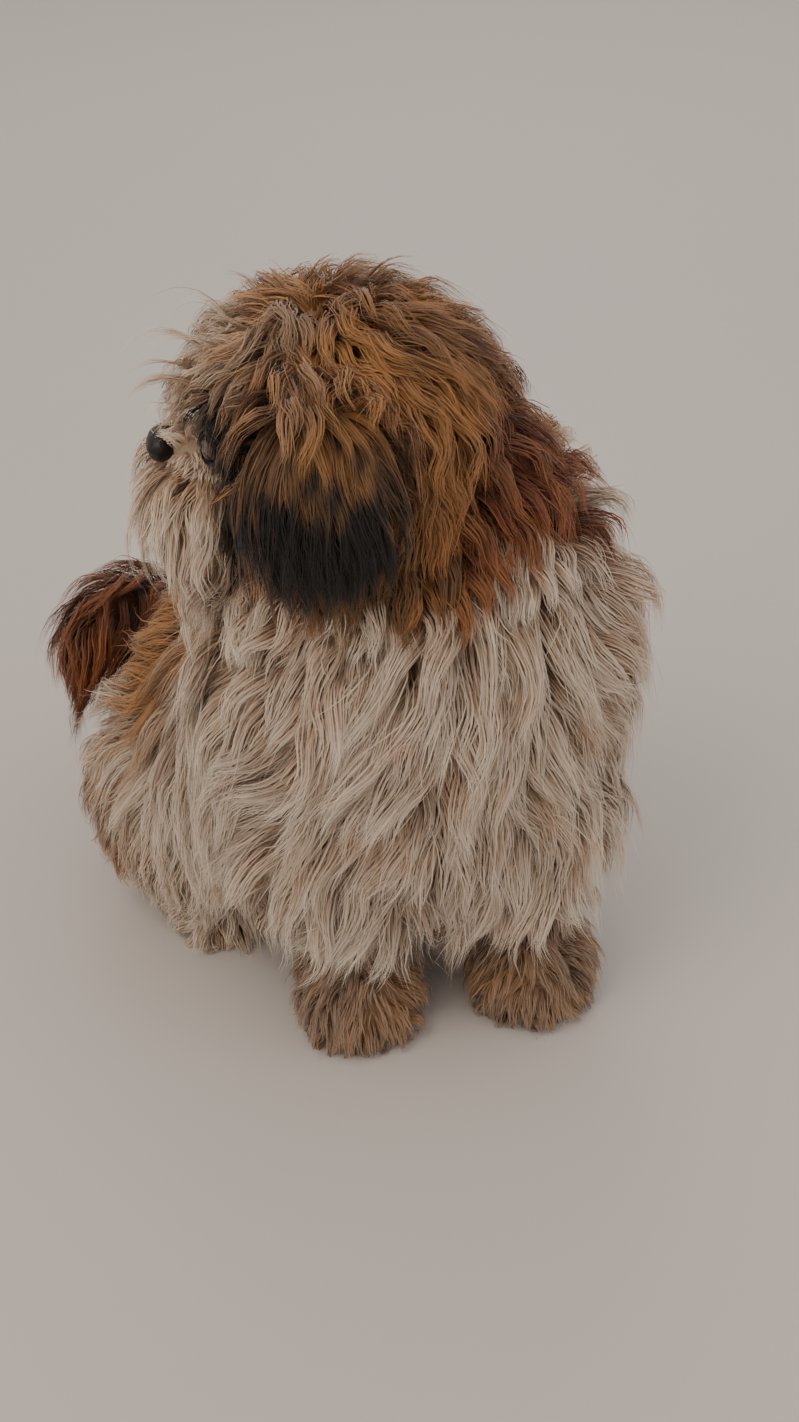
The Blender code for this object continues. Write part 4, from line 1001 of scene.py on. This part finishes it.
def meshFrom(name, points, faces, uvs, coat, along, material):
    mesh = bpy.data.meshes.new(name)
    mesh.vertices.add(len(points))
    mesh.vertices.foreach_set("co", (points + shift).astype(np.float32).ravel())
    mesh.loops.add(len(faces) * 3)
    mesh.loops.foreach_set("vertex_index", faces.astype(np.int32).ravel())
    mesh.polygons.add(len(faces))
    mesh.polygons.foreach_set("loop_start", np.arange(len(faces), dtype=np.int32) * 3)
    mesh.update(calc_edges=True)
    layer = mesh.uv_layers.new(name="OFBake")
    layer.data.foreach_set("uv", uvs[faces.ravel()].astype(np.float32).ravel())
    addMarks(mesh, coat, along)
    mesh.shade_smooth()
    mesh.materials.append(material)
    return addObject(name, mesh)


patchShare = 0.003  # of the unwrap, taken by one lock


def makeCoat(name, look, roots, guides, lengths, rng, density=None, marks=None):
    points, faces, weights = roots
    density = np.ones(len(points)) if density is None else density
    line, out, owner, tone = lockStrands(*guides, lengths, look, rng, density)
    width = look["width"] * mm * rng.uniform(0.7, 1.3, len(owner))
    verts, tris, along, edge, each = ribbonMesh(line, out, width, rng, look["taper"])
    strand = np.repeat(owner, each)
    rootUv = np.einsum("nk,nkj->nj", weights, skinUvs[faces])
    uvs = rootUv[strand] + np.stack((edge - 0.5, along - 0.5), axis=1) * patchShare
    # a lock takes its colour from its root, or each strand from its own places by the marks rule
    shares = marks(verts) if marks else [share[strand] for share in markings(points)]
    lockTone = rng.uniform(-0.24, 0.24, len(points))
    shade = np.clip(np.repeat(tone, each) * 0.34 + look["light"] + lockTone[strand], 0, 1)
    made = meshFrom(name, verts, tris, uvs, np.stack((*shares, shade), axis=1), along, materials["hair"])
    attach(made, "root")
    print("scene:", name, len(points), "locks,", len(owner), "strands,", len(tris), "triangles")


middle = skinSurface.corner.mean(axis=1)
middleRegion = regionOf(middle)
hairy = ~bareMask(middle)

# Settings of each coat: spacing, length, wave, curl and strand width in millimetres, the rest in
# metres or shares. Real hair is some 0.07 mm across, so each strand is drawn as wide as it needs
# to show, and stands for several hairs.
baseLook = dict(steps=8, rings=7, sink=0.003, bed=0.026, lift=1.4, comb=0.5, droop=0.22, flick=0.9,
                wave=0.40, waveMm=46.0, proud=0.032, cling=0.5, strands=30, spread=0.0086,
                thick=0.0060, gather=0.48, curl=0.0012, curlMm=30.0, stray=0.07, width=0.56,
                taper=2.0, ragged=0.45, light=0.36)
coatLooks = dict(
    trunk=dict(spacing=6.6, length=58.0, flick=0.65, wave=0.30, waveMm=64.0, curl=0.0009, curlMm=40.0),
    neck=dict(spacing=6.0, length=46.0, lift=1.6, bed=0.025, proud=0.034, cling=0.25, waveMm=38.0,
              spread=0.0068, droop=0.15, flick=1.0),
    head=dict(spacing=5.4, length=44.0, lift=1.3, bed=0.016, proud=0.020, wave=0.46, waveMm=36.0,
              strands=28, spread=0.0060, steps=7, width=0.55),
    whorl=dict(spacing=3.4, length=30.0, lift=0.9, bed=0.013, proud=0.016, wave=0.5, waveMm=30.0,
               strands=12, spread=0.0040, rings=6, steps=6, width=0.5),
    muzzle=dict(spacing=2.6, length=15.0, lift=0.7, bed=0.0025, proud=0.006, wave=0.18, waveMm=20.0,
                strands=8, spread=0.0024, thick=0.0015, rings=5, steps=5, sink=0.0012, curl=0.0005,
                width=0.5, gather=0.45, flick=0.0, light=0.85),
    beard=dict(spacing=3.5, length=60.0, lift=2.0, bed=0.010, proud=0.030, wave=0.30, waveMm=38.0,
               strands=19, spread=0.0044, flick=0.0, thick=0.0030, cling=0.1, sink=0.0015,
               curl=0.0008, width=0.5, gather=0.50, light=0.85),
    foreleg=dict(spacing=3.6, length=23.0, flick=0.3, lift=0.9, bed=0.009, proud=0.014, wave=0.20,
                 waveMm=26.0, strands=13, spread=0.0036, thick=0.002, rings=5, steps=6, curl=0.0004,
                 width=0.42, droop=0.35, gather=0.4),
    hindleg=dict(spacing=6.1, length=36.0, flick=0.5, lift=1.0, bed=0.010, proud=0.018, wave=0.36,
                 waveMm=32.0, strands=24, spread=0.0062, rings=6, steps=7, width=0.55),
    tail=dict(spacing=4.8, length=64.0, flick=0.0, lift=0.8, bed=0.004, proud=0.05, wave=0.32,
              waveMm=50.0, strands=22, spread=0.0042, rings=8, steps=9, cling=0.0, comb=0.35,
              droop=0.35, gather=0.6, width=0.55),
    ear=dict(spacing=3.8, length=72.0, lift=0.45, bed=0.005, proud=0.010, wave=0.22, waveMm=48.0,
             strands=17, spread=0.0036, thick=0.0022, rings=8, droop=0.9, gather=0.5, curl=0.0008,
             width=0.5, sink=0.001, flick=0.0, cling=0.15, ragged=0.6),
)


def growCoat(name, kind, seed, lengthRule=None, where=True, region=None, densityRule=None):
    # roots over one region of the skin, and on each a lock with its own length
    look = dict(baseLook, **coatLooks[kind])
    region = region or kind
    mask = (middleRegion == region) & hairy & where
    roots = scatter(mask, look["spacing"] * mm, np.random.default_rng(seed))
    points, faces, weights = roots
    normals = skinSurface.normalsAt(faces, weights)
    lengths = look["length"] * mm * np.random.default_rng(seed + 500).uniform(0.82, 1.18, len(points))
    if lengthRule:
        lengths = lengths * lengthRule(points, normals)
    rng = np.random.default_rng(seed)
    guides = growGuides(points, normals, combs[region], look, rng, lengths)
    density = densityRule(normals) if densityRule else None
    makeCoat(name, look, roots, guides, lengths, rng, density)


def trunkLength(points, normals):
    # as long as the coat's hem allows: over the paws in front, down to the floor behind
    x, y, z = points.T
    belly = smoothStep(-0.35, -0.8, normals[:, 2])
    rump = smoothStep(0.10, 0.18, y)
    chest = smoothStep(0.045, 0.015, np.abs(x - 0.010))
    overThigh = smoothStep(-0.030, -0.055, x) * smoothStep(0.130, 0.105, y)
    hem = (0.048 - 0.022 * chest) * np.maximum(smoothStep(0.075, 0.030, y), overThigh)
    room = np.clip((z - hem) * 1.3 / (coatLooks["trunk"]["length"] * mm), 0.30, 1.15)
    return room * (1 - 0.4 * belly) * (1 - 0.22 * rump)


def trunkDensity(normals):
    return 1 - 0.6 * smoothStep(-0.3, -0.7, normals[:, 2])


trunkCuts = dict(bibBack=0.018, middle=0.022, leftBack=0.150, rightBack=0.110)


def trunkPart(points):
    # the trunk's coat is in four pieces, so that none is too large
    cuts = trunkCuts
    back = points @ tailward
    left = points @ hipLeft > cuts["middle"]
    part = np.where(left & (back < cuts["leftBack"]), "coat_left_flank", "coat_rump")
    part = np.where(~left & (back < cuts["rightBack"]), "coat_right_flank", part)
    return np.where(points[:, 1] < cuts["bibBack"], "coat_bib", part)


def onWhorl(points):
    f, l, u = toHead(points).T
    return (np.hypot(f + whorlBack, l) < 0.032) & (u > 0.03)


def neckLength(points, normals):
    # shorter towards the collar, so that the cream shows under it
    return 0.70 + 0.30 * smoothStep(0.0, 0.040, overEdge(points, "collarEdge"))


def headLength(points, normals):
    # shorter over the brow, so that the eyes look out
    f, l, u = toHead(points).T
    return 1 - 0.42 * smoothStep(0.012, 0.030, f) * smoothStep(0.0, 0.014, u)


def muzzleLength(points, normals):
    # short on the bridge and by the eyes, longer over the brow and on the cheeks
    f, l, u = toHead(points).T
    near = smoothStep(0.020, 0.012, eyeGap(points, (0.0465, 0.0265, 0.008)))
    brow = smoothStep(0.014, 0.022, u)
    return (0.8 + 0.9 * brow + 0.7 * smoothStep(0.045, 0.028, f)) * (1 - 0.4 * near)


def beardLength(points, normals):
    return 0.72 + 0.35 * smoothStep(-0.008, -0.030, toHead(points)[:, 2])


def pawLength(points, normals):
    # short on the toes
    z = points[:, 2]
    return 1 - 0.25 * smoothStep(0.030, 0.012, z) + 0.2 * smoothStep(0.040, 0.065, z)


def thighLength(points, normals):
    return 1 - 0.42 * smoothStep(0.042, 0.020, points[:, 2])


for seed, name in enumerate(("coat_bib", "coat_left_flank", "coat_right_flank", "coat_rump"), 21):
    growCoat(name, "trunk", seed, trunkLength, trunkPart(middle) == name,
             densityRule=trunkDensity)
growCoat("coat_neck", "neck", 25, neckLength)
growCoat("coat_crown", "head", 26, headLength)
growCoat("coat_whorl", "whorl", 36, where=onWhorl(middle), region="head")
growCoat("coat_muzzle", "muzzle", 27, muzzleLength)
growCoat("coat_beard", "beard", 31, beardLength)
growCoat("coat_forelegs", "foreleg", 28, pawLength)
growCoat("coat_hindlegs", "hindleg", 29, thighLength)
growCoat("coat_tail", "tail", 30)


def earMarks(points):
    # brown at the root and along the edges, blue-black below, brown again in the fringe
    f, _, u = toHead(points).T
    edge = softNoise(points, 0.016, 31)
    low = u + edge * 0.009
    fringe = smoothStep(-0.036, -0.054, low)
    inside = smoothStep(0.046, 0.026, np.abs(f - 0.002 + edge * 0.008))
    dark = 0.30 + 0.70 * smoothStep(0.026, 0.000, low) * inside - 0.50 * fringe
    return np.ones(len(points)), np.clip(dark, 0, 1), 0.5 * (1 - inside)


earRows = dict(start=-0.36, flapLong=0.064, widthsFrom=-0.25, topHalf=0.026)


def growEar(name, side, seed):
    # rows of locks across the flap, from a little above its root down to its tip
    look = dict(baseLook, **coatLooks["ear"])
    spacing = look["spacing"] * mm
    rng = np.random.default_rng(seed)
    widths = (earRows["topHalf"], *earForm["halfWidths"])
    rows = []
    for along in np.arange(earRows["start"], 1.0, spacing / earRows["flapLong"]):
        half = np.interp(along, np.linspace(earRows["widthsFrom"], 1, len(widths)), widths)
        number = max(int(2 * half / spacing), 3)
        for k in range(number):
            rows.append((along + rng.uniform(-0.02, 0.02), (k + rng.uniform(0.2, 0.8)) / number * 2 - 1))
    along, across = np.array(rows).T
    points = earPoint(side, np.minimum(along, 1), across)
    places, _, faces, weights = skinSurface.nearest(points)
    normals = bed.nearest(points)[1]
    lengths = look["length"] * mm * rng.uniform(0.75, 1.2, len(points)) * (1 - 0.12 * along)
    rng = np.random.default_rng(seed)
    guides = growGuides(places, normals, combEar, look, rng, lengths)
    makeCoat(name, look, (places, faces, weights), guides, lengths, rng, marks=earMarks)


growEar("coat_ear_left", 1.0, 41)
growEar("coat_ear_right", -1.0, 42)


wispForm = dict(
    # root, first way and last way in the head's axes, and the length in millimetres
    rows=(
        ((0.022, 0.006, 0.044), (0.5, 0.3, 0.9), (1.0, 0.2, -0.6), 44.0),
        ((0.028, -0.004, 0.040), (0.4, -0.1, 1.0), (1.0, 0.0, -0.6), 42.0),
        ((0.014, -0.010, 0.048), (0.4, -0.5, 0.8), (0.9, -0.6, -0.4), 40.0),
        ((-0.004, 0.004, 0.050), (-0.7, -0.2, 0.9), (-1.0, 0.1, 0.3), 44.0),
        ((0.004, 0.012, 0.049), (0.2, 0.8, 0.8), (0.3, 1.0, -0.6), 38.0),
        ((0.032, 0.010, 0.036), (0.7, 0.3, 0.8), (0.6, 0.4, -1.0), 40.0),
        ((-0.018, -0.004, 0.048), (-0.6, 0.0, 1.0), (-1.0, -0.2, -0.2), 40.0),
        ((0.034, 0.004, 0.032), (0.8, 0.1, 0.9), (0.9, 0.1, -1.0), 58.0),
        ((0.036, 0.016, 0.026), (0.9, 0.3, 0.8), (0.9, 0.3, -1.2), 52.0),
        ((0.030, 0.012, 0.037), (0.6, 0.3, 0.9), (1.0, 0.4, -0.9), 58.0),
        ((0.040, -0.004, 0.024), (1.0, 0.0, 0.6), (0.7, 0.0, -1.2), 50.0),
        ((0.026, -0.012, 0.038), (0.6, -0.2, 0.9), (1.0, -0.1, -0.7), 56.0),
        ((0.038, 0.010, 0.028), (1.0, 0.4, 0.5), (0.8, 0.5, -0.9), 54.0),
    ),
    look=dict(strands=17, spread=0.0030, rings=9, width=0.45, gather=0.6), steps=10,
)


def growWisps():
    # a few loose wisps that stand up off the forelock and the crown
    look = dict(baseLook, **wispForm["look"])
    steps = wispForm["steps"]
    roots, starts, ends, lengths = (np.array(column) for column in zip(*wispForm["rows"]))
    places, normals, faces, weights = skinSurface.nearest(fromHead(roots))
    lengths = lengths * mm
    start, end = unit(starts) @ headAxes, unit(ends) @ headAxes
    path = [places]
    for k in range(steps):
        way = unit(start + (end - start) * (k / (steps - 1)) ** 1.3)
        path.append(path[-1] + way * lengths[:, None] / steps)
    guides = (np.stack(path, axis=1), np.stack([normals] * (steps + 1), axis=1))
    makeCoat("coat_wisps", look, (places, faces, weights), guides, lengths,
             np.random.default_rng(51))


growWisps()
print("scene: coat done")


def finishSkin():
    points = skinSurface.points
    brown, dark, auburn = markings(points)
    f, l, u = toHead(points).T
    ears = (np.abs(l) > 0.052) & (u < 0.036) & (np.abs(f) < 0.04) & (points[:, 2] > 0.25)
    dark = np.where(ears, np.maximum(dark, 0.75), dark)
    # dark rims of the lids and lips
    for rim in (smoothStep(0.0125, 0.0112, eyeGap(points, eyePlace)),
                smoothStep(0.0045, 0.0025, mouthGap(points))):
        dark = np.maximum(dark, rim)
    coat = np.stack((brown, dark, auburn, np.full(len(brown), 0.5)), axis=1)
    # the skin takes colours near the hair's darker roots (along 0.3) and a darker material: painted shade
    # under the coat
    addMarks(skin.data, coat, np.full(len(brown), 0.3))
    soles = points.copy()
    soles[:, 2] = np.maximum(soles[:, 2], 0.0)
    skin.data.vertices.foreach_set("co", soles.ravel())
    skin.data.transform(Matrix.Translation(shift))
    skin.data.materials.clear()
    skin.data.materials.append(materials["shadedUnderCoat"])
    skin.data.shade_smooth()
    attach(skin, "root")
    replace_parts(skin, "torso", "neck", "head", "ear_left", "ear_right", "foreleg_left",
                "foreleg_right", "hindleg_left", "hindleg_right", "tail")


finishSkin()


def shapedPiece(name, editor, places, material):
    # moves a ball's vertices to their places and makes it a piece
    for vertex, place in zip(editor.verts, places + shift):
        vertex.co = place
    mesh = bpy.data.meshes.new(name)
    editor.to_mesh(mesh)
    editor.free()
    mesh.shade_smooth()
    mesh.materials.append(material)
    return addObject(name, mesh)


def makeEye(name, side):
    look, left = gaze(side)
    axes = np.array((look, left, np.cross(look, left)))
    editor = bmesh.new()
    bmesh.ops.create_uvsphere(editor, u_segments=48, v_segments=36, radius=1.0)
    points = np.array([v.co[:] for v in editor.verts])[:, [2, 0, 1]]
    angle = np.arccos(np.clip(points[:, 0], -1, 1))
    # the cornea stands a little proud of the ball
    bulge = 1 + 0.055 * smoothStep(0.75, 0.35, angle)
    places = fromHead(eyePlace, side) + points * headForm["eyeRadius"] * bulge[:, None] @ axes
    bmesh.ops.recalc_face_normals(editor, faces=editor.faces)
    eye = shapedPiece(name, editor, places, materials["eye"])
    ring = eye.data.attributes.new("ring", "FLOAT", "POINT")
    ring.data.foreach_set("value", (angle / 1.05).astype(np.float32))
    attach(eye, "root")
    return eye


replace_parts(makeEye("eyeball_left", 1.0), "eye_left")
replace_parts(makeEye("eyeball_right", -1.0), "eye_right")


def makeNose():
    centre, radii = headForm["nose"]
    editor = bmesh.new()
    bmesh.ops.create_icosphere(editor, subdivisions=6, radius=1.0)
    points = np.array([v.co[:] for v in editor.verts])
    f, l, u = points.T
    aside = np.abs(l)
    # flat front, a groove down the middle, and comma-shaped nostrils that open to the sides
    front = smoothStep(0.2, 0.8, f)
    hole = np.hypot((aside - 0.42) / 0.20, (u + 0.10 - 0.35 * (aside - 0.42)) / 0.26)
    slit = np.hypot((aside - 0.68) / 0.26, (u + 0.22) / 0.10)
    wing = np.hypot((aside - 0.66) / 0.30, (u - 0.16) / 0.34)
    scale = (1 - 0.10 * front * smoothStep(0.5, 1.0, f)
             - 0.16 * np.exp(-(l / 0.07) ** 2) * front * smoothStep(0.25, -0.3, u)
             - 0.50 * front * smoothStep(1.15, 0.55, hole)
             - 0.22 * smoothStep(1.2, 0.5, slit) * smoothStep(0.0, 0.4, f)
             + 0.07 * smoothStep(1.2, 0.2, wing) * smoothStep(0.0, 0.5, f))
    shape = points * scale[:, None] * np.array(radii) * (1.0, 1.02, 1.0)
    shape[:, 1] *= 1 + 0.14 * np.clip(u, -1, 1)
    nose = shapedPiece("nose_leather", editor, fromHead(centre) + shape @ headAxes, materials["nose"])
    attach(nose, "root")
    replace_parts(nose, "nose")


makeNose()

clawForm = dict(start=-0.0085, long=0.0060, down=-0.0005, drop=0.0050, radius=0.0017, taper=0.82,
                splay=0.001, rows=6)


def makeClaws():
    form = clawForm
    clay = Clay()
    for place, axes, across in allToes():
        rows = []
        for t in np.linspace(0, 1, form["rows"]):
            local = np.array((across * form["splay"] * t, form["start"] - form["long"] * t,
                              form["down"] - form["drop"] * t * t))
            radius = form["radius"] * (1 - form["taper"] * t)
            rows.append((*(place + local @ axes), radius, radius * 1.3, 0.0))
        clay.loft(ringsOf(np.array(rows), 10))
    claws = clay.finish("claws")
    claws.data.transform(Matrix.Translation(shift))
    claws.data.materials.append(materials["claw"])
    claws.data.shade_smooth()
    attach(claws, "root")


makeClaws()
print("scene: eyes, nose and claws done")


# Floor, light and camera

studio = dict(
    floorHex="#D6CDC5", cloudHex="#CFC8C3", cloudMm=625.0, floorRough=0.45,
    worldHex="#F6EFE8", worldStrength=0.75,
    # place, what it faces, watts, width and colour of each soft light
    lights=dict(
        key_softbox=((-0.75, -0.55, 1.55), (0, 0, 0.15), 8.0, 1.1, "#FFF2E2"),
        fill_softbox=((1.2, -0.9, 0.9), (0, 0, 0.15), 2.8, 1.4, "#EEF3FF"),
        back_softbox=((0.4, 1.4, 1.1), (0, 0, 0.2), 2.8, 1.0, "#FFFFFF"),
    ),
    # the photograph's own viewpoint: 35 degrees down, from the front
    cameraPlace=(-0.1346, -0.733, 0.681), right=(0.9709, -0.2271, -0.0794),
    up=(0.1933, 0.5397, 0.8195), back=(-0.1433, -0.8110, 0.5676), lensMm=51.1, sensorMm=36.0,
)


def makeFloor():
    # Painted plaster: matt and pale, with faint clouds
    bpy.ops.mesh.primitive_plane_add(size=9.0, location=(0, 0, 0))
    floor = bpy.context.object
    floor.name = "studio_floor"
    material, tree, shader = newMaterial("matt_studio_floor")
    colour = clouded(tree, 1000 / studio["cloudMm"], 3.0, studio["floorHex"], studio["cloudHex"])[1]
    setUp(tree, shader, {"Base Color": colour, "Roughness": studio["floorRough"], "IOR": 1.5})
    floor.data.materials.append(material)


def makeLights():
    world = bpy.data.worlds.new("studio")
    world.use_nodes = True
    setUp(world.node_tree, world.node_tree.nodes["Background"],
          {"Color": hexColour(studio["worldHex"]), "Strength": studio["worldStrength"]})
    bpy.context.scene.world = world
    for name, (place, aim, power, size, code) in studio["lights"].items():
        light = bpy.data.lights.new(name, "AREA")
        light.shape = "DISK"
        light.energy = power
        light.size = size
        light.color = hexColour(code)[:3]
        thing = addObject(name, light)
        thing.location = place
        thing.rotation_euler = (Vector(aim) - Vector(place)).to_track_quat("-Z", "Y").to_euler()


def makeCamera():
    data = bpy.data.cameras.new("camera")
    data.sensor_width = studio["sensorMm"]
    data.sensor_fit = "AUTO"
    data.lens = studio["lensMm"]
    camera = addObject("camera", data)
    place = np.array(studio["cameraPlace"]) + shift
    rows = zip(studio["right"], studio["up"], studio["back"], place)
    camera.matrix_world = Matrix((*rows, (0, 0, 0, 1)))
    bpy.context.scene.camera = camera


makeFloor()
makeLights()
makeCamera()

print("scene: done")
